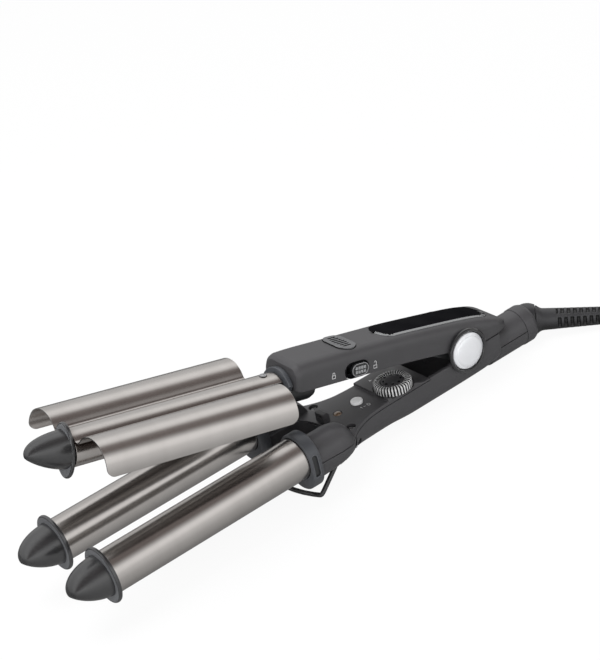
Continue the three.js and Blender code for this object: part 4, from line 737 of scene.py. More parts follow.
def coil_points(steps=24):
    """Spiral in by one pitch a turn, half a turn up to the next layer, spiral out, and a last climb.

    The step up dips inwards by 2.2 sin, and the end climbs over the turns along a quarter sine."""
    t = np.arange(round(COIL_TURNS * steps) + 1) / steps
    s = np.clip((t - COIL_HALF) / 0.5, 0, 1)
    inward = COIL_OUTER - COIL_PITCH * np.minimum(t, COIL_HALF) - 2.2 * np.sin(s * math.pi)
    r = inward + COIL_PITCH * np.maximum(t - COIL_HALF - 0.5, 0)
    turns = about_coil(r, t, COIL_Z + COIL_PITCH * (0.5 - 0.5 * np.cos(s * math.pi)))
    i = np.arange(1, TAIL_STEPS + 1)
    climb = np.minimum(1, i / 4) * (math.pi / 2)
    k = np.clip((i - 4) / (TAIL_STEPS - 4), 0, 1)
    r = COIL_OUTER - COIL_PITCH * (1 - np.cos(climb)) - (TAIL_IN - COIL_PITCH) * k
    z = COIL_Z + COIL_PITCH + (PLUG_LIFT - COIL_PITCH) * np.sin(climb)
    tail = about_coil(r, COIL_TURNS + i / steps, z)
    way = (tail[-1] - tail[-2]) * [1, 1, 0]
    way /= np.linalg.norm(way)
    return np.concatenate([turns, tail]), way


COIL, PLUG_DIR = coil_points()
ROUTE = np.concatenate([run_points(), COIL])


def curve_through(points, step=2.0):
    """Catmull-Rom curve through points, about one point each step: cubic blends of four neighbours."""
    p = np.concatenate([2 * points[:1] - points[1:2], points, 2 * points[-1:] - points[-2:-1]])
    pieces = []
    for i in range(1, len(p) - 2):
        n = max(2, int(np.linalg.norm(p[i + 1] - p[i]) / step))
        t = np.linspace(0, 1, n, endpoint=False)[:, None]
        a, b, c, d = p[i - 1], p[i], p[i + 1], p[i + 2]
        first, second, third = c - a, 2 * a - 5 * b + 4 * c - d, 3 * b - 3 * c + d - a
        pieces.append(0.5 * (2 * b + first * t + second * t**2 + third * t**3))
    return np.concatenate([*pieces, points[-1:]])


def tube_grid(path, radius, n=16, up=(0, 0, 1)):
    """Round tube: at each point of the path a circle square to the tangent, turned by an up direction."""
    tangent = np.gradient(path, axis=0)
    tangent /= np.linalg.norm(tangent, axis=1)[:, None]
    side = np.cross(tangent, up)
    side /= np.linalg.norm(side, axis=1)[:, None]
    top = np.cross(side, tangent)
    a = np.linspace(0, 2 * math.pi, n, endpoint=False)
    r = np.broadcast_to(np.asarray(radius, float).reshape(-1, 1), (len(path), 1))[:, :, None]
    ring = np.cos(a)[None, :, None] * side[:, None] + np.sin(a)[None, :, None] * top[:, None]
    return path[:, None] + r * ring


CORD_PATH = curve_through(ROUTE)

# %% Cord piece, tie and plug
mains_cord = skin("mains_cord", tube_grid(CORD_PATH, CORD_R))
adopt(mains_cord, "lower_arm", RUBBER, "cord_tube", "cord_coil")


def band_grid(inner, outer, low, high, wide, thick):
    """Strap round the turns: a rounded rectangle path in the radial plane, thickened and given its width."""
    path = rounded([(inner, low), (outer, low), (outer, high), (inner, high)], 2.5, 6, closed=True)
    centre = path.mean(0)
    out = centre + (path - centre) * (1 + 2 * thick / np.ptp(path, axis=0))
    rows = []
    for p, y in ((path, -wide / 2), (out, -wide / 2), (out, wide / 2), (path, wide / 2)):
        rows.append(np.column_stack([p[:, 0], np.full(len(p), y), p[:, 1]]))
    return np.stack(rows)


TIE_ROOM, TIE_LOW, TIE_WIDE, TIE_THICK = 1.2, -26.3, 5.0, 0.5
tie_in = COIL_OUTER - COIL_PITCH * COIL_HALF - CORD_R - TIE_ROOM - COIL_PITCH
tie_top = COIL_Z + COIL_PITCH + CORD_R + 0.4
tie = band_grid(tie_in, COIL_OUTER + CORD_R + TIE_ROOM, TIE_LOW, tie_top, TIE_WIDE, TIE_THICK)
tie = np.stack([-tie[..., 1], tie[..., 0], tie[..., 2]], -1) + [COIL_CENTRE[0], COIL_CENTRE[1], 0]
coil_strap = adopt(skin("coil_strap", tie, ring=True), "lower_arm", WEB_BLACK, "coil_tie")


def at_plug(p):
    """Plug space to lower arm space: X along the cord's end, then to that end."""
    c, s = PLUG_DIR[0], PLUG_DIR[1]
    x, y, z = p[..., 0], p[..., 1], p[..., 2]
    return lower(np.stack([COIL[-1, 0] + x * c - y * s, COIL[-1, 1] + x * s + y * c, z + PLUG_LIFT], -1))


PLUG_STATIONS = [
    (0.3, 4.2, COIL_Z - 3.2, COIL_Z + 4.2, 3.2, 3.2), (1.0, 4.6, COIL_Z - 3.4, COIL_Z + 4.6, 3.2, 3.2),
    (9, 6, COIL_Z - 3.5, COIL_Z + 5.4, 3.2, 3.2), (14, 10.9, -26.9, -14.5, 3.4, 3.4),
    (20, 13.5, -26.9, -12.9, 3.4, 3.4), (32.6, 13.5, -26.9, -12.9, 3.4, 3.4),
    (33.6, 13.1, -26.5, -13.3, 3.2, 3.2), (34, 12.6, -26, -13.8, 2.8, 2.8),
]
PIN_Y, PIN_Z = 9.5, -19.9
plug = skin("plug_shell", section_grid(smooth_table(PLUG_STATIONS)), at_plug)
plug_shell = adopt(plug, "lower_arm", RUBBER, "plug_body")
for side, label in ((1, "left"), (-1, "right")):
    profile = [(26.3, 0), (26.3, 2), (52, 2), (53, 1.2), (53, 0)]
    pin = turned(f"{label}_contact_pin", profile, "x", (0, side * PIN_Y, PIN_Z), 32, at_plug, 0.4)
    adopt(pin, "lower_arm", BRASS, f"{label}_plug_pin")

# %% Strain relief
BALL_R, BALL_FLAT = 9.2, 4.2
RELIEF_START = BALL + (BALL_FLAT + 0.02) * RELIEF_DIR
RELIEF_LENGTH, FIRST_GROOVE, GROOVES, GROOVE_DEEP = 55.55, 11.2, 12, 1.6


def about_exit(start, along, radius, a):
    """Turned about the cord's exit direction: start + along E + radius (cos a S + sin a T)."""
    top = np.cross(RELIEF_DIR, SIDE)
    ring = np.cos(a)[None, :, None] * SIDE + np.sin(a)[None, :, None] * top
    return start + along[:, None, None] * RELIEF_DIR + radius[..., None] * ring


def groove_share(x, a):
    """1 inside a groove and 0 outside: four rows round the sleeve, each half a pitch on from the next."""
    pitch = (RELIEF_LENGTH - FIRST_GROOVE - 4) / GROOVES
    row = np.floor((a + math.pi / 4) / (math.pi / 2)) % 4
    phase = ((x[:, None] - FIRST_GROOVE) / pitch + 0.5 * (row[None] % 2)) % 1
    wide = 0.5 - 0.5 * np.cos(4 * (a + math.pi / 4))
    share = 1 / (1 + np.exp((np.abs(phase - 0.5) - 0.24) * 60)) * np.clip(wide[None] * 3 - 0.25, 0, 1)
    live = (x[:, None] > FIRST_GROOVE) & (x[:, None] < RELIEF_LENGTH - 3)
    return share * live


def relief_grid(n=96):
    """Tapered sleeve, radius 6.05 - 1.95 x/L and a flare 1.8 exp(-(x/2.2)^2), with a spigot behind it."""
    x = np.linspace(0.6, RELIEF_LENGTH - 0.8, 340)
    a = np.linspace(0, 2 * math.pi, n, endpoint=False)
    base = 6.05 - 1.95 * x / RELIEF_LENGTH + 1.8 * np.exp(-(x / 2.2) ** 2)
    r = base[:, None] - GROOVE_DEEP * groove_share(x, a)
    behind, end = np.outer([2.2, 4.3, 4.3, 7.5], np.ones(n)), np.outer([3.5, 3.45], np.ones(n))
    along = np.concatenate([[-2.1, -2.1, 0, 0.1], x, [RELIEF_LENGTH, RELIEF_LENGTH]])
    return about_exit(RELIEF_START, along, np.concatenate([behind, r, end]), a)


adopt(skin("ribbed_relief", relief_grid(), sharp=50), "cord_swivel", RUBBER, "strain_relief")

# %% [markdown]
# ## Barrels and tips
# The heated parts are thin coated tubes. Each ends in a cool tip: a raised disc that keeps
# the hair from sliding off, and a blunt nose to hold. Tubes and tips are turned or lofted.

# %% Barrels
BARREL_Y, BARREL_WALL = 21.6, 0.8


def barrel(name, r, x0, x1, y, place):
    """Tube wall as a closed loop turned about X, with small rounded lips."""
    loop = [(x0, r - BARREL_WALL), (x0, r), (x1, r), (x1, r - BARREL_WALL)]
    return turned(name, loop, "x", (0, y, 0), 128, place, 0.25, ring=True)


for side, label in SIDES:
    tube = barrel(f"{label}_tube", 11, 0.3, 120.6, side * BARREL_Y, lower)
    adopt(tube, "lower_arm", TITANIUM, f"{label}_barrel")
adopt(barrel("centre_tube", 8.8, -232.1, -112.3, 0, upper), "upper_arm", TITANIUM_SHEET, "centre_barrel")

# %% Tips
DISC_THICK, DISC_ROUND = 1.9, 0.7
LOWER_DISC, LOWER_NOSE = (14, 14.8), (18.9, 10.9, 10.8, 10.2, -0.4, (0.93, 1.0, 1.68, 0.84))
CENTRE_DISC, CENTRE_NOSE = (8.2, 14.0), (20.4, 8.65, 10.4, 8.7, 1.5, (1.0, 0.76, 1.42, 0.83))
CENTRE_DISC_U = -232.4


def tip_grid(disc, nose, spigot):
    """Rows of ovals. Along the nose x = L sin q, width cos^a, top cos^b, bottom (1 - sin^c q)^d."""
    disc_y, disc_z = disc
    length, wide, high, low, peak, powers = nose
    q = np.linspace(0, math.pi / 2, 36)[:-1]
    s, c = np.sin(q), np.cos(q)
    top = peak + (high - peak) * c ** powers[1]
    foot = peak - (low + peak) * (1 - s ** powers[2]) ** powers[3]
    rows = np.column_stack([-DISC_THICK - length * s, 0 * s, wide * c ** powers[0], foot, top])
    rim = [(-DISC_THICK, DISC_ROUND), (0.2 - DISC_THICK, 0.2), (DISC_ROUND - DISC_THICK, 0)]
    rim += [(-DISC_ROUND, 0), (-0.2, 0.2), (0, DISC_ROUND)]
    plate = [(x, 0, disc_y - cut, cut - disc_z, disc_z - cut) for x, cut in rim]
    plate += [(0, 0, spigot, -spigot, spigot), (8, 0, spigot, -spigot, spigot)]
    return oval_grid(np.concatenate([rows[::-1], plate]), 96)


def face_grid(disc, nose, proud=0.12):
    """Thin ring on the front of the disc, between the nose and the rounded rim; its lighter tone is a painted
    reflection.
    """
    wide, high, low = min(nose[1] + 0.25, disc[0] - 1.3), nose[2] + 0.25, nose[3] + 0.25
    inner, outer = (0, wide, -low, high), (0, disc[0] - 0.85, 0.85 - disc[1], disc[1] - 0.85)
    front, back = -DISC_THICK - proud, -DISC_THICK - 0.01
    return oval_grid([(front, *inner), (front, *outer), (back, *outer), (back, *inner)], 96)


def cool_tip(label, disc, nose, spigot, at, place, body):
    """Nose, disc and spigot as one piece, and the ring of painted reflection on the disc's face."""
    tip = skin(f"{label}_cool_tip", tip_grid(disc, nose, spigot) + at, place, sharp=40)
    adopt(tip, body, TIP_GREY, f"{label}_tip")
    face = skin(f"{label}_disc_face", face_grid(disc, nose) + at, place, ring=True)
    adopt(face, body, DISC_FACE_REFLECTION)


for side, label in SIDES:
    cool_tip(label, LOWER_DISC, LOWER_NOSE, 9.9, [0, side * BARREL_Y, 0], lower, "lower_arm")
cool_tip("centre", CENTRE_DISC, CENTRE_NOSE, 7.7, [CENTRE_DISC_U, 0, 0], upper, "upper_arm")

# %% [markdown]
# ## The pressing sheet
# One thin sheet is bent into a crest over the centre barrel, a valley on each side, and two
# wings that hang over the lower barrels. In section it is a chain of arcs that touch each
# other. The free corners are rounded, which here means that the last arc ends sooner.

# %% Sheet line
SHEET_T, WING_MID, CREST_MID, VALLEY_R, WING_DROP = 0.65, 12.925, 9.425, 3.0, 0.3
WING_EDGE, SHEET_FRONT, SHEET_REAR, SHEET_CORNER = math.radians(-9), -232.0, -124.0, 4.5
SHEET_SCREW_U = -119.8


def sheet_line(edge, crest_only=False):
    """Wing, valley and crest arcs, each tangent to the next, then their mirror image. Or the crest only."""
    d = math.hypot(BARREL_Y, WING_DROP)
    a0, a1 = CREST_MID + VALLEY_R, WING_MID + VALLEY_R
    along = (d * d + a0 * a0 - a1 * a1) / (2 * d)
    rise = math.sqrt(a0 * a0 - along * along)
    uy, uz = BARREL_Y / d, -WING_DROP / d
    vy, vz = along * uy - rise * uz, along * uz + rise * uy
    crest_at, wing_at = math.atan2(vz, vy), math.atan2(vz + WING_DROP, vy - BARREL_Y)
    rows = []

    def arc(cy, cz, r, start, stop, n, sign=1.0):
        """Points (y, z) of an arc and the directions across it, outwards for sign 1."""
        a = np.linspace(start, stop, n)
        way = np.column_stack([np.cos(a), np.sin(a)])
        rows.append(np.column_stack([[cy, cz] + r * way, sign * way]))

    if not crest_only:
        arc(BARREL_Y, -WING_DROP, WING_MID, edge, wing_at, 40)
        arc(vy, vz, VALLEY_R, wing_at - math.pi, crest_at - math.pi, 14, -1.0)
        rows[0], rows[1] = rows[0][:-1], rows[1][:-1]
    arc(0, 0, CREST_MID, crest_at, math.pi / 2, 16)
    half = np.concatenate(rows)
    mirrored = half[:-1][::-1] * [-1, 1, -1, 1]
    return np.concatenate([half, mirrored])


def sheet_row(u, edge, crest_only=False):
    """Closed section at u: the line moved out by half the thickness, and back moved in by as much."""
    line = sheet_line(edge, crest_only)
    outer = line[:, :2] + SHEET_T / 2 * line[:, 2:]
    inner = (line[:, :2] - SHEET_T / 2 * line[:, 2:])[::-1]
    ring = np.concatenate([outer, inner])
    return np.column_stack([np.full(len(ring), u), ring])


def wave_grid():
    """Rows along u. Near each end the free edge draws back by c - sqrt(c^2 - (c - s)^2), c the corner."""
    s = SHEET_CORNER * (1 - np.cos(np.linspace(0, math.pi / 2, 12)))
    back = SHEET_CORNER - np.sqrt(np.maximum(0, SHEET_CORNER**2 - (SHEET_CORNER - s) ** 2))
    edge = WING_EDGE + back / WING_MID
    ends = [(SHEET_FRONT + a, e) for a, e in zip(s, edge)]
    inner = np.linspace(SHEET_FRONT + SHEET_CORNER, SHEET_REAR - SHEET_CORNER, 40)[1:-1]
    middle = [(u, WING_EDGE) for u in inner]
    others = [(SHEET_REAR - a, e) for a, e in zip(s[::-1], edge[::-1])]
    return np.stack([sheet_row(u, e) for u, e in ends + middle + others])


pressing_sheet = skin("pressing_sheet", wave_grid(), upper)
crest = np.stack([sheet_row(u, 0, True) for u in np.linspace(-126, -113, 8)])
carve(pressing_sheet, skin("tool", crest, upper), how="UNION")
carve(pressing_sheet, rod("z", 1.5, 0, 20, (SHEET_SCREW_U, 0, 0), upper))
adopt(pressing_sheet, "upper_arm", TITANIUM_SHEET, "wave_plate")

# %% [markdown]
# ## The lower grip
# The lower grip is a moulded shell that narrows from the two sleeves behind the barrels to
# the tail. It is one outer form, cut along a parting line into the housing and the cover
# that carries the controls.

# %% Outer form
BODY = [
    (121.7, 31.6, -15.2, -5, 10.2, 0.8), (133, 30.7, -15.9, -5, 10.6, 0.8),
    (140, 28.9, -17.2, -5, 11.4, 0.8), (147, 25.4, -19.2, -5, 12.8, 0.8),
    (154, 20.4, -21.1, -5, 13.8, 0.8), (161, 17, -22.7, -5, 13.4, 0.8), (168, 15.1, -23.7, -5, 13, 0.8),
    (179.95, 14.2, -24.2, -5, 13, 0.8), (180.05, 14.2, -24.2, -3.5, 13, 0.8),
    (197, 14, -24.8, -3.5, 12, 0.8), (205, 14, -24.8, -6, 12, 0.8), (222, 14, -24.8, -6, 12, 0.8),
    (228, 14, -24.8, -4.5, 12, 0.8), (246, 14, -24.8, -4.5, 12.6, 0.8), (257, 14, -24.1, -4.5, 14, 0.8),
]
SLEEVE = [
    (121.7, 21, 10.7, -15.0, 6.4), (136, 20.9, 10.6, -14.9, 6.3), (140.5, 20.2, 10.1, -14.9, 5.3),
    (144, 19.5, 9.1, -14.4, 3.8), (147, 18.9, 7.2, -13.2, 1.2), (149.3, 18.4, 4.6, -11.2, -2.0),
    (151, 18.1, 2, -9, -5),
]
NOTCH_HALF = [(116, -12.6), (139, -12.6), (142, -11), (144.2, -7.6), (145.4, -2.4)]
NOTCH = NOTCH_HALF + [(x, -y) for x, y in reversed(NOTCH_HALF)]
PARTING = [(110, -3.1), (125, -3.3), (138, -4), (144, -5.5), (148, -6.8)]


def lower_form():
    """Grip and both sleeves as one solid, with the notch between the sleeves."""
    form = skin("lower_form", section_grid(smooth_table(BODY, 2.0), corner=9))
    for side in (1, -1):
        table = smooth_table(SLEEVE, 1.0)
        table[:, 1] *= side
        full = skin("sleeve", oval_grid(table, 64))
        carve(full, block(110, 160, *span(side, -5, 14.7), -4.98, 20))
        carve(form, full, how="UNION")
    return carve(form, slab(rounded(NOTCH, 1.5, closed=True), "z", -12.4, 20))


def cover_zone(gap):
    """Everything over the parting line, once the line is lowered and lengthened by a gap."""
    line = [(x, z - gap) for x, z in PARTING] + [(208 + gap, -6.8 - gap), (208 + gap, 30), (110, 30)]
    return slab(line, "y", -60, 60)


def body_inside():
    """The shell's own inner form: the same stations, 2 mm in."""
    rows = [(148, 22.4, -17.2, -6.6, 10, 0.5)]
    for x, half, bottom, _, corner, _ in BODY[4:]:
        if x != 180.05:
            rows.append((min(x, 255), half - 2, bottom + 2, -6.6, corner - 2, 0.5))
    return skin("inside", section_grid(smooth_table(rows, 3.0)))


housing = lower_form()
cover = twin(housing, "controls_cover")
carve(housing, body_inside(), cover_zone(0.45), block(208, 246, -12, 12, -12, 8))
print("grip shell", len(housing.data.polygons), "faces")

# %% Tail, ears and holes of the shell
TAIL_R, TAIL_BORE, TAIL_Z = 10.2, 8.2, -16.6
BUTTON_X, LIGHT_X, SCREW_X, SCREW_Y, STAND_X, STAND_Z = 170.5, 157.6, 154, 15.6, 135, -13.9
BUTTON_HOLE, LIGHT_HOLE, SHAFT_HOLE, HEAD_HOLE, SHANK_HOLE, BOSS_HOLE = 3.6, 2.5, 3.3, 2.5, 1.4, 3.6
EAR_R, PIN_HOLE, STAND_HOLE = 9, 3.2, 1.6


def tail_form(x0, low, high):
    """Round tail from x0 to its end, kept between two heights only."""
    line = [(x0, 0), (x0, TAIL_R), (279, TAIL_R), (279, 0)]
    full = turned("tail", line, "x", (0, 0, TAIL_Z), 96, corner=0.3)
    return carve(full, block(200, 300, -20, 20, low, high), how="INTERSECT")


for side in (1, -1):
    near, far = span(side, 10.5, 14.2)
    foot = block(225, 243, near, far, -14, -5.3)
    carve(housing, rod("y", EAR_R, near, far, AXLE, n=72), foot, how="UNION")
carve(housing, tail_form(254, -40, TAIL_Z + 0.6), how="UNION")
carve(housing, rod("x", TAIL_BORE, 251, 280, (0, 0, TAIL_Z)), rod("y", PIN_HOLE, -20, 20, AXLE))
carve(housing, rod("z", DIAL_ROOM, -5, 10, DIAL, n=72))
for side in (1, -1):
    screw_hole = rod("z", BOSS_HOLE, -21, -6, (SCREW_X, side * SCREW_Y, 0))
    carve(housing, rod("x", 3.5, 120, 152, (0, side * 19.44, -10.4)), screw_hole)
    near, far = span(side, 21.4, 25.6)
    stand_hole = rod("y", STAND_HOLE, near - 6, far + 6, (STAND_X, 0, STAND_Z), n=24)
    carve(housing, block(129, 141, near, far, -22, -12.4), stand_hole)
adopt(housing, "lower_arm", SOFT_BLACK, "lower_housing", name="grip_shell")

# %% Cover with its holes
carve(cover, cover_zone(0.0), how="INTERSECT")
for side in (1, -1):
    at = (SCREW_X, side * SCREW_Y, 0)
    carve(cover, rod("z", HEAD_HOLE, -8.2, 5, at), rod("z", SHANK_HOLE, -12, 5, at))
for r, at in ((LIGHT_HOLE, (LIGHT_X, 0, 0)), (BUTTON_HOLE, (BUTTON_X, 0, 0)), (SHAFT_HOLE, DIAL)):
    carve(cover, rod("z", r, -20, 5, at))
carve(cover, rod("z", DIAL_ROOM, -5, 10, DIAL, n=72))
adopt(cover, "lower_arm", SOFT_BLACK, "lower_cover")
tail_lid = tail_form(257.3, TAIL_Z + 1.05, 0)
carve(tail_lid, rod("x", TAIL_BORE, 240, 300, (0, 0, TAIL_Z)))
adopt(tail_lid, "lower_arm", SOFT_BLACK, "tail_cover", name="tail_lid")


# %% Collars behind the barrels
def slot_grid(rows, y, drop, n=32):
    """Rows of (x, radius): an upper half circle, straight sides down by the drop, a lower half circle."""
    a = np.concatenate([np.linspace(0, math.pi, n), np.linspace(math.pi, 2 * math.pi, n)])
    down = np.concatenate([np.zeros(n), np.full(n, drop)])
    x, r = np.asarray(rows, float).T
    return np.stack([x[:, None] + 0 * a, y + r[:, None] * np.cos(a), r[:, None] * np.sin(a) - down], -1)


COLLAR_DROP = 5.1
COLLAR_ROWS = [
    (114.8, 11.8), (114.95, 12.15), (115.2, 12.4), (115.6, 12.6), (120.9, 12.6), (121.2, 12.5), (121.4, 12.3),
]
for side, label in SIDES:
    y = side * BARREL_Y
    collar = skin(f"{label}_heat_guard", slot_grid(COLLAR_ROWS, y, COLLAR_DROP))
    carve(collar, rod("x", 11.3, 113, 120.9, (0, y, 0), n=96), rod("x", 4, 114, 126, (0, y, -5)))
    outline = rounded([(116.2, -7.6), (119.4, -7.6), (119.4, 4.4), (116.2, 4.4)], 1.5, 5, closed=True)
    slot = slab(outline, "y", *span(side, BARREL_Y + 6, BARREL_Y + 14))
    carve(slot, skin("slot_core", slot_grid([(113, 11.5), (126, 11.5)], y, COLLAR_DROP)))
    # A black lining at the bottom of each slot in the collar: painted shade.
    slot_shade_lining = twin(slot, f"{label}_slot_painted_shade")
    outside = skin("slot_skin", slot_grid([(113, 11.8), (126, 11.8)], y, COLLAR_DROP))
    carve(slot_shade_lining, outside, how="INTERSECT")
    carve(collar, slot)
    adopt(collar, "lower_arm", COLLAR_GREY, f"{label}_collar")
    adopt(slot_shade_lining, "lower_arm", WEB_BLACK)

# %% End collar and ball
END_RING = [
    (279.04, 8.2), (279.04, 10.5), (284.8, 10.5), (286.4, 9.9), (286.4, 9.6), (285.9, 9.4), (284.5, 8.9),
]
end_ring = turned("tail_end_ring", END_RING, "x", (0, 0, TAIL_Z), 96, corner=0.3, ring=True)
adopt(end_ring, "lower_arm", SOFT_BLACK, "end_collar")


def ball_form():
    """Turned about the exit direction: a socket in the front flat, then the sphere round to its back."""
    a = np.linspace(math.radians(62.8), math.radians(178), 60)
    sphere = BALL_R * np.column_stack([np.cos(a), np.sin(a)])
    socket = [(2.0, 0.02), (2.0, 4.6), (BALL_FLAT, 4.6), (BALL_FLAT, sphere[0, 1])]
    p = np.concatenate([socket, sphere, [(-BALL_R, 0.0)]])
    return about_exit(BALL, p[:, 0], p[:, 1:], np.linspace(0, 2 * math.pi, 64, endpoint=False))


ball = skin("swivel_joint", ball_form(), sharp=40)
carve(ball, block(270, 281.5, -12, 12, TAIL_Z - 12, TAIL_Z + 12))
adopt(ball, "lower_arm", BALL_BLACK, "swivel_ball")

# %% [markdown]
# ## The upper grip
# The upper grip is a long cap, open below, that ends in a blunt heel behind the hinge. A
# glossy inlay and a small comb-shaped vent lie in its crown, and the lock sits in its side.

# %% Upper form
UPPER = [
    (-108.8, 12.6, 2.7, 13.6, 0.8, 5.5), (-107.8, 13.6, 2.1, 15, 0.6, 6), (-105.3, 14, 1.9, 15.9, 0.5, 6),
    (-92, 14, 1.9, 16.3, 0.5, 6), (-46, 14, 1.9, 16.3, 0.5, 6), (-19.5, 14, 1.2, 15.6, 0.5, 6),
    (-4, 14, 0.2, 15.0, 0.5, 6), (8, 14, 0.5, 14.3, 0.5, 6), (14, 14, 1.8, 13.6, 0.5, 6),
    (18.5, 14, 3, 12.8, 0.5, 6), (22.5, 13.7, 4, 11.9, 0.5, 5.6), (26, 12.8, 4.9, 10.8, 0.5, 4.6),
    (28.6, 11.4, 5.5, 9.6, 0.4, 3.2), (30.2, 9.6, 5.9, 8.5, 0.4, 1.8), (30.8, 8, 6.2, 7.4, 0.2, 0.6),
]
UPPER_ROWS = smooth_table(UPPER, 1.5)


def slot_outline(cx, cy, long, wide, steps=12):
    """Two half circles joined by straight sides; the longer of the two lengths sets the direction."""
    r, flat = min(long, wide) / 2, abs(long - wide) / 2
    a = np.linspace(-math.pi / 2, math.pi / 2, steps + 1)
    half = np.column_stack([flat + r * np.cos(a), r * np.sin(a)])
    p = np.concatenate([half, -half])
    p = p if long >= wide else np.column_stack([-p[:, 1], p[:, 0]])
    return p + [cx, cy]


def panel_outline(grow):
    """Long inlay with flattened round ends: the end arcs are ellipses 0.7 as deep as they are wide."""
    half, front, rear = 9 + grow, -50 - grow, 21.5 + grow
    a = np.linspace(-math.pi / 2, math.pi / 2, 25)
    end = np.column_stack([half * 0.7 * np.cos(a), half * np.sin(a)])
    return np.concatenate([end + [rear - half * 0.7, 0], -end + [front + half * 0.7, 0]])


def crown_slab(depth):
    """Slab between two copies of the crown line, one below it by a depth and one 6 mm above."""
    line = UPPER_ROWS[(UPPER_ROWS[:, 0] >= -92) & (UPPER_ROWS[:, 0] <= 29)][:, [0, 3]]
    outline = np.concatenate([line - [0, depth], (line + [0, 6])[::-1]])
    return slab(outline, "y", -11, 11, upper)


def crown_piece(outline, depth, proud, first=-92.0):
    """What an outline cuts from a copy of the grip that stands proud of the crown."""
    rows = UPPER_ROWS[UPPER_ROWS[:, 0] >= first].copy()
    rows[:, 3] += proud
    piece = skin("crown_piece", section_grid(rows, corner=9), upper)
    carve(piece, slab(outline, "z", 0, 30, upper), how="INTERSECT")
    return carve(piece, crown_slab(depth), how="INTERSECT")


def upper_room():
    """The cap's own inner form, open below: the same stations, 2 mm in."""
    rows = []
    for u, half, _, top, _, corner in UPPER[1:-3]:
        front = -106.4 if u < -107 else u
        rows.append((front, half - 2, -12, top - 2, 0.3, max(corner - 2, 0.4)))
    return skin("room", section_grid(smooth_table(rows, 3.0)), upper)


# %% Housing, inlay and vent
BADGE_U, LOCK_U, LOCK_V = -72.5, -72.0, 6.1
EAR_ROOM, COMB_STEP, COMB_WIDE = 9.7, 2.1, 1.1


def lock_oval(u, long, wide, y0, y1, steps=20):
    """Oval block across the left side of the grip, at the lock's height."""
    return slab(slot_outline(u, LOCK_V, long, wide, steps), "y", y0, y1, upper)


shell = skin("upper_shell", section_grid(UPPER_ROWS, corner=10), upper)
ears = [rod("y", EAR_ROOM, *ends, (0, 0, 0), upper, 96) for ends in ((-20, -10.2), (10.2, 20))]
inlay_room = carve(slab(panel_outline(0.3), "z", 0, 30, upper), crown_slab(1.3), how="INTERSECT")
vent_room = slab(slot_outline(BADGE_U, 0, 11.6, 20.6, 20), "z", 14.8, 30, upper)
neck_hole = rod("x", 6.3, -110.8, -102.8, (0, 0, 4.2), upper)
carve(shell, upper_room(), *ears, neck_hole, inlay_room, vent_room, lock_oval(LOCK_U, 15.5, 9.0, -20, -9, 12))
adopt(shell, "upper_arm", SOFT_BLACK, "upper_housing")

inlay = crown_piece(panel_outline(0), 1.0, 0.25)
# A lighter strip along the inlay's near edge only, where y is below 1: a painted highlight.
lip = crown_piece(panel_outline(0), 1.0, 0.25)
carve(lip, slab(panel_outline(-2.2), "z", 0, 30, upper), block(-60, 30, 1, 20, 0, 30, upper))
carve(inlay, twin(lip, "lip_tool"))
adopt(inlay, "upper_arm", GLOSS_BLACK, "name_panel", name="glossy_inlay")
adopt(lip, "upper_arm", INLAY_EDGE_HIGHLIGHT, name="inlay_near_edge_highlight")


def comb_slots():
    """Seven slots side by side, shorter towards the ends: half length = 3.6 - 0.35 |i|."""
    slots = []
    for i in range(-3, 4):
        outline = slot_outline(BADGE_U, COMB_STEP * i, 2 * (3.6 - 0.35 * abs(i)), COMB_WIDE, 6)
        slots.append(slab(outline, "z", 15.3, 30, upper))
    return slots


vent = crown_piece(slot_outline(BADGE_U, 0, 11, 20, 20), 1.2, 0.6, -105.3)
carve(vent, *comb_slots())
adopt(vent, "upper_arm", VENT_GREY, "vent_badge", name="comb_vent")

# %% Lock
bezel = lock_oval(LOCK_U, 14.9, 8.4, -14, -12)
tray = lock_oval(LOCK_U, 14.1, 7.6, -15, -12.8)
carve(bezel, tray, block(-77.55, -67.15, -20, 0, LOCK_V - 1.9, LOCK_V + 1.9, upper))
adopt(bezel, "upper_arm", GLOSS_BLACK, "lock_bezel", name="lock_tray")

LOCK_MID, LOCK_FACE = -70.5, -14.9
thumb = lock_oval(LOCK_MID, 10.4, 6.8, LOCK_FACE, -13.1)
LOCK_LINKS = [
    (-74.05, -67.45, -13.2, -10, 4.5, 7.7), (-74.05, -71.05, -11.6, 1.6, 4.5, 7.7),
    (-74.05, -71.05, -1.6, 1.6, -3.1, 7.7), (-82.8, -71.05, -1.6, 1.6, -3.1, -1.9),
]
carve(thumb, *(block(*link, upper) for link in LOCK_LINKS), how="UNION")
adopt(thumb, "lock_slide", WEB_BLACK, "lock_slider", name="lock_thumb_piece")
rim = lock_oval(LOCK_MID, 10.3, 6.7, LOCK_FACE - 0.12, LOCK_FACE + 0.2, 24)
carve(rim, lock_oval(LOCK_MID, 9.5, 5.9, LOCK_FACE - 1, LOCK_FACE + 1, 24))
adopt(rim, "lock_slide", RIM_GREY, name="thumb_rim")
STEP_U, STEP_V, HALF_U, HALF_V = 1.7, 2.1, 0.6, 0.75
STUDS = [(LOCK_MID + STEP_U * i, LOCK_V + STEP_V * j) for i in (-1.5, -0.5, 0.5, 1.5) for j in (-0.5, 0.5)]
outer, inner = LOCK_FACE - 0.35, LOCK_FACE + 0.3
studs = [block(u - HALF_U, u + HALF_U, outer, inner, v - HALF_V, v + HALF_V, upper) for u, v in STUDS]
carve(studs[0], *studs[1:], how="UNION")
adopt(studs[0], "lock_slide", STUD_GREY, name="thumb_studs")

# %% Inner cover, flange and screw
dress("upper_cover", "upper_arm", WEB_BLACK)


PASS_R, PASS_Z = 13.2, -2.3


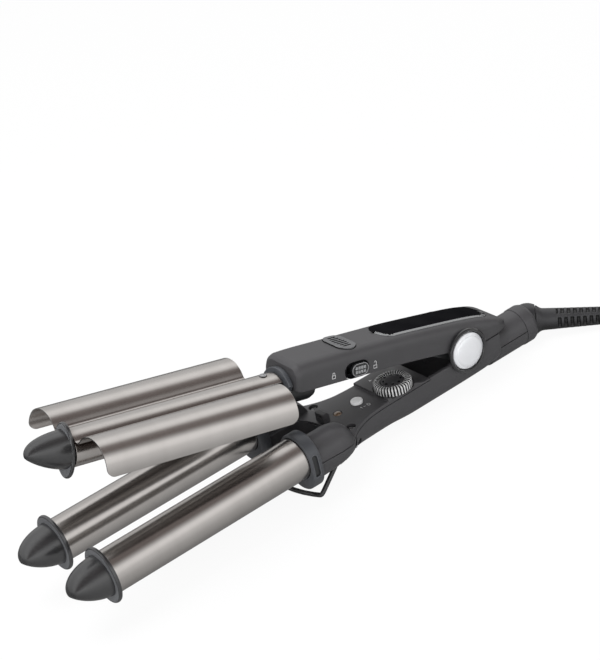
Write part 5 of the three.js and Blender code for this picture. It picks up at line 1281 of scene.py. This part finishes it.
def flange_piece():
    """Disc with a short spigot, cut at its sides so that it passes the collars."""
    loop = [(-117.6, 2.5), (-117.6, 7.7), (-112, 7.7), (-112, 12), (-109.4, 12), (-109.4, 2.5)]
    piece = turned("rear_flange", loop, "x", (0, 0, 0), 128, upper, 0.35, ring=True)
    for side in (1, -1):
        room = rod("x", PASS_R, -130, -100, (0, side * BARREL_Y, PASS_Z), upper, 96)
        carve(piece, room, block(-130, -100, *span(side, BARREL_Y - PASS_R, 20), -20, PASS_Z, upper))
    return piece


adopt(flange_piece(), "upper_arm", COLLAR_GREY, "centre_flange")
screw_rows = [(6.55, 0), (6.55, 1.1), (10, 1.1), (10, 1.9), (10.4, 1.65), (10.65, 0.8), (10.65, 0)]
screw = turned("sheet_screw", screw_rows, "z", (SHEET_SCREW_U, 0, 0), 40, upper)
carve(screw, *cross_slot(SHEET_SCREW_U, 0, 1.8, 0.25, 10.3, 12, upper))
adopt(screw, "upper_arm", RIM_GREY, "plate_screw")

# %% [markdown]
# ## Hinge
# A steel pin carries both arms. Its ends are hidden by two domed caps, each in a thin dark
# ring with a polished lip, and a wound spring between the knuckles opens the jaws.

# %% Hinge pieces
def cap_profile(side):
    """Flat rim, a bevel, then a shallow dome: along = 16.6 + 1.5 sin a, radius = 8.3 cos a."""
    a = np.linspace(0, math.pi / 2, 16)
    dome = [(16.6 + 1.5 * math.sin(v), 8.3 * math.cos(v)) for v in a]
    profile = [(14.5, 0), (14.5, 10), (15.5, 10), (15.9, 9.8), (16.5, 8.75)] + dome
    return [(side * along, r) for along, r in profile]


def ring_profile(side):
    """Closed loop of the dark ring with its polished lip."""
    loop = [(14.5, 10.3), (14.5, 12.2), (15.7, 12.2), (16.4, 11.6), (16.4, 10.9), (15.6, 10.3)]
    return [(side * along, r) for along, r in loop]


for side, label in SIDES:
    cap = turned(f"{label}_dome_cap", cap_profile(side), "y", AXLE, 96, corner=0.15, sharp=22)
    adopt(cap, "lower_arm", SATIN_SILVER, f"{label}_hinge_cap")
    ring = turned(f"{label}_thin_ring", ring_profile(side), "y", AXLE, 96, corner=0.3, ring=True)
    adopt(ring, "lower_arm", RING_BLACK, f"{label}_cap_ring")
pin_line = [(-14.2, 0), (-14.2, 2.9), (14.2, 2.9), (14.2, 0)]
adopt(turned("axle", pin_line, "y", AXLE, 48, corner=0.3), "lower_arm", STEEL, "hinge_pin")


SPRING_R, SPRING_WIDE, SPRING_WIRE = 3.9, 6.4, 0.7


def spring_grid(turns=4):
    """Helix about the axle: x = R cos a, z = R sin a, y steady from side to side."""
    a = np.linspace(0, 2 * math.pi * turns, 28 * turns + 1)
    y = SPRING_WIDE * (a / a[-1] - 0.5)
    a = a + math.pi / 2
    path = np.column_stack([SPRING_R * np.cos(a), y, SPRING_R * np.sin(a)]) + AXLE
    return tube_grid(path, SPRING_WIRE, 12, up=(0, 1, 0))


adopt(skin("wound_spring", spring_grid()), "lower_arm", STEEL, "torsion_spring")

# %% [markdown]
# ## Controls on the deck
# The heat dial is a knurled ring round a dark centre with eight small dots. Before it sit a
# round button, an amber light and a small block that catches the lock.

# %% Dial
KNURL_DEEP, KNURL_SUNK = 0.7, 0.4
DOTS, DOT_RING, DOT_R = 8, 4.35, 0.75
KNURL_ROWS = [
    (-4.5, 6.3, 0, 0), (-4.5, 9.3, 0.3, 0), (-4.2, 9.75, 0.7, 0), (-3.8, 10, 1, 0), (-0.7, 10, 1, 0),
    (-0.1, 9.8, 0.9, 0.3), (0.35, 9.1, 0.5, 1), (0.5, 8.4, 0.2, 1), (0.45, 7.2, 0.1, 0.8),
    (0.1, 6.6, 0, 0.4), (-0.2, 6.3, 0, 0),
]


def knurl_grid(n=KNURLS * 12):
    """Ring whose radius is less by a share of 1 - |cos 18 a|^0.7, and whose top dips between ridges."""
    a = np.linspace(0, 2 * math.pi, n, endpoint=False)
    dip = 1 - np.abs(np.cos(KNURLS / 2 * a)) ** 0.7
    grid = []
    for z, r, deep, sunk in KNURL_ROWS:
        radius = r - KNURL_DEEP * deep * dip
        grid.append(np.column_stack([radius * np.cos(a), radius * np.sin(a), z - KNURL_SUNK * sunk * dip]))
    return np.stack(grid) + DIAL


adopt(skin("knurled_ring", knurl_grid(), ring=True, sharp=50), "dial", KNURL_PAINTED_LIGHT, "dial_ring")
cap_rows = [(-1.7, 0), (-1.7, 3.2), (-4.5, 3.2), (-4.5, 6), (-0.3, 6), (0.1, 5.5), (0.5, 3.5), (0.6, 0)]
centre_knob = turned("dark_centre", cap_rows, "z", DIAL, 72, corner=0.25)
dots = []
for a in 0.2 + np.arange(DOTS) * 2 * math.pi / DOTS:
    at = (DIAL[0] + DOT_RING * math.cos(a), DIAL[1] + DOT_RING * math.sin(a), 0)
    dots.append(rod("z", DOT_R, -0.6, 0.38, at, n=20))
carve(dots[0], *dots[1:], how="UNION")
carve(centre_knob, twin(dots[0], "dots_tool"))
adopt(dots[0], "dial", GLOSS_BLACK, name="dial_dots")
adopt(centre_knob, "dial", SOFT_BLACK, "dial_cap")

# %% Button, light, screws and catch
BUTTON_ROWS = [
    (-8.1, 0), (-8.1, 4.3), (-7.1, 4.3), (-7.1, 3.3), (-4.1, 3.3), (-3.7, 2.8), (-3.6, 1.5), (-3.6, 0),
]
button = turned("round_button", BUTTON_ROWS, "z", (BUTTON_X, 0, 0), 72, corner=0.2)
adopt(button, "power_key", BUTTON_SILVER, "power_button")
LENS_ROWS = [
    (-7.9, 0), (-7.9, 3.2), (-7.1, 3.2), (-7.1, 2.2), (-5.2, 2.2), (-4.6, 1.7), (-4.25, 0.8), (-4.2, 0),
]
lens = turned("amber_light", LENS_ROWS, "z", (LIGHT_X, 0, 0), 48, corner=0.25)
adopt(lens, "lower_arm", AMBER, "pilot_lens")
DECK_SCREW = [
    (-18, 0), (-17.8, 0.5), (-17, 1.1), (-7.7, 1.1), (-7.7, 2.2), (-6.8, 2.2), (-6.4, 1.7), (-6.3, 0),
]
for side, label in SIDES:
    y = side * SCREW_Y
    screw = turned(f"{label}_deck_screw", DECK_SCREW, "z", (SCREW_X, y, 0), 40)
    carve(screw, *cross_slot(SCREW_X, y, 1.4, 0.3, -6.8, -5))
    adopt(screw, "lower_arm", STEEL, f"{label}_cover_screw")
side_view = [(146.5, -4.7), (150.5, -4.7), (150.5, -0.2), (149.5, 1), (147, 1), (146.5, 0.5)]
catch = slab(rounded(side_view, 0.4, closed=True), "y", -3.25, 3.25)
carve(catch, block(145, 152, -2.1, 2.1, -1.8, 0.1))
adopt(catch, "lower_arm", SOFT_BLACK, "catch_block", name="lock_catch")

# %% [markdown]
# ## Wire stand and printed marks
# One bent wire lies folded down under the sleeves. The marks are thin white films on the deck and
# on the side of the grip: the numbers 1 and 0, a tick by the dial, and two small padlocks.

# %% Wire stand
WIRE_R, WIRE_BEND = 1.25, 1.4
BOW = [(116.9 + 5.9 * (y / 23.7) ** 2, y, -25.75) for y in (20, 14, 8, 3)]
WIRE_HALF = [(STAND_X, 18, STAND_Z), (STAND_X, 23, STAND_Z), (134.2, 24, -14.8), (124.2, 24, -24.4)]
WIRE_HALF += [(122.8, 23.6, -25.7)] + BOW
wire_line = np.array([(x, -y, z) for x, y, z in WIRE_HALF] + WIRE_HALF[::-1])
bent_wire = skin("bent_wire", tube_grid(rounded(wire_line, WIRE_BEND, 7), WIRE_R, 20, up=(0.7, 0, -0.7)))
adopt(bent_wire, "stand", WIRE_BLACK, "wire_stand")

# %% Printed marks
def stroke(path, width=0.32):
    """Band of constant width along a flat path. Corners are mitred: m = (n1 + n2) / (1 + n1 . n2)."""
    p = np.asarray(path, float)
    way = np.diff(p, axis=0)
    way /= np.linalg.norm(way, axis=1)[:, None]
    n = np.column_stack([-way[:, 1], way[:, 0]])
    first, second = np.concatenate([n[:1], n]), np.concatenate([n, n[-1:]])
    out = (first + second) / (1 + np.sum(first * second, 1))[:, None] * width / 2
    return np.concatenate([p + out, (p - out)[::-1]])


def oval(cx, cy, w, h, start=0.03, end=2 * math.pi - 0.03, steps=28):
    """Points (cx + w/2 cos a, cy + h/2 sin a)."""
    a = np.linspace(start, end, steps)
    return np.column_stack([cx + w / 2 * np.cos(a), cy + h / 2 * np.sin(a)])


def padlock(u, v, lift):
    """Body outline and shackle; an open one has its shackle lifted off the left side."""
    body = [(u - 0.95, v - 1.5), (u + 0.95, v - 1.5), (u + 0.95, v + 0.1), (u - 0.95, v + 0.1)]
    body.append((u - 0.95, v - 1.4))
    arch = oval(u, v + 0.9 + lift, 1.2, 1.3, 0, math.pi, 14)
    legs = [np.array([[u + 0.6, v + 0.15]]), arch]
    if not lift:
        legs.append(np.array([[u - 0.6, v + 0.15]]))
    return [stroke(body, 0.26), stroke(np.concatenate(legs), 0.26)]


def films(name, outlines, axis, a, b, place):
    """Thin flat marks in one mesh: each outline becomes a prism from a to b along the axis."""
    points, faces, start = [], [], 0
    for outline in outlines:
        first, second = np.asarray(outline).T
        n = len(first)
        for level in (np.full(n, a), np.full(n, b)):
            points.append(np.column_stack((first, second, level) if axis == "z" else (first, level, second)))
        faces += [[start + k for k in quad] for quad in grid_faces(2, n)]
        faces += [list(range(start, start + n)), list(range(start + n, start + 2 * n))]
        start += 2 * n
    return mesh_of(name, place(np.concatenate(points)), faces)


on_off = [stroke([(168.3, -7.6), (168.3, -5.6)]), stroke([(169.6, -6.8), (170.7, -6.9)])]
on_off.append(stroke(oval(172.6, -7.0, 1.5, 2.0)))
adopt(films("on_off_marks", on_off, "z", -5.02, -4.95, lower), "lower_arm", MARK_WHITE)
arrow = [np.array([(185.6, 7.2), (187.3, 7.6), (186.1, 9.0)])]
adopt(films("dial_mark", arrow, "z", -3.52, -3.45, lower), "lower_arm", MARK_WHITE)
locks = padlock(-86.7, 6.2, 0.0) + padlock(-60.4, 5.7, 0.7)
adopt(films("padlock_marks", locks, "y", -14.05, -13.98, upper), "upper_arm", MARK_WHITE)

# %% Inner parts that stay as they are
INNER = {
    "left_heater": CERAMIC, "right_heater": CERAMIC, "centre_heater": CERAMIC,
    "circuit_board": BOARD_GREEN, "switch_body": MOULDED, "dial_potentiometer": MOULDED,
}
for node, material in INNER.items():
    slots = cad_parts[node].data.materials
    slots.clear()
    slots.append(material)
print("inner parts", len(INNER))


# %% Report CAD nodes left without a finish
for node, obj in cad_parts.items():
    if not obj.hide_render and not obj.data.materials:
        print("bare node", node)
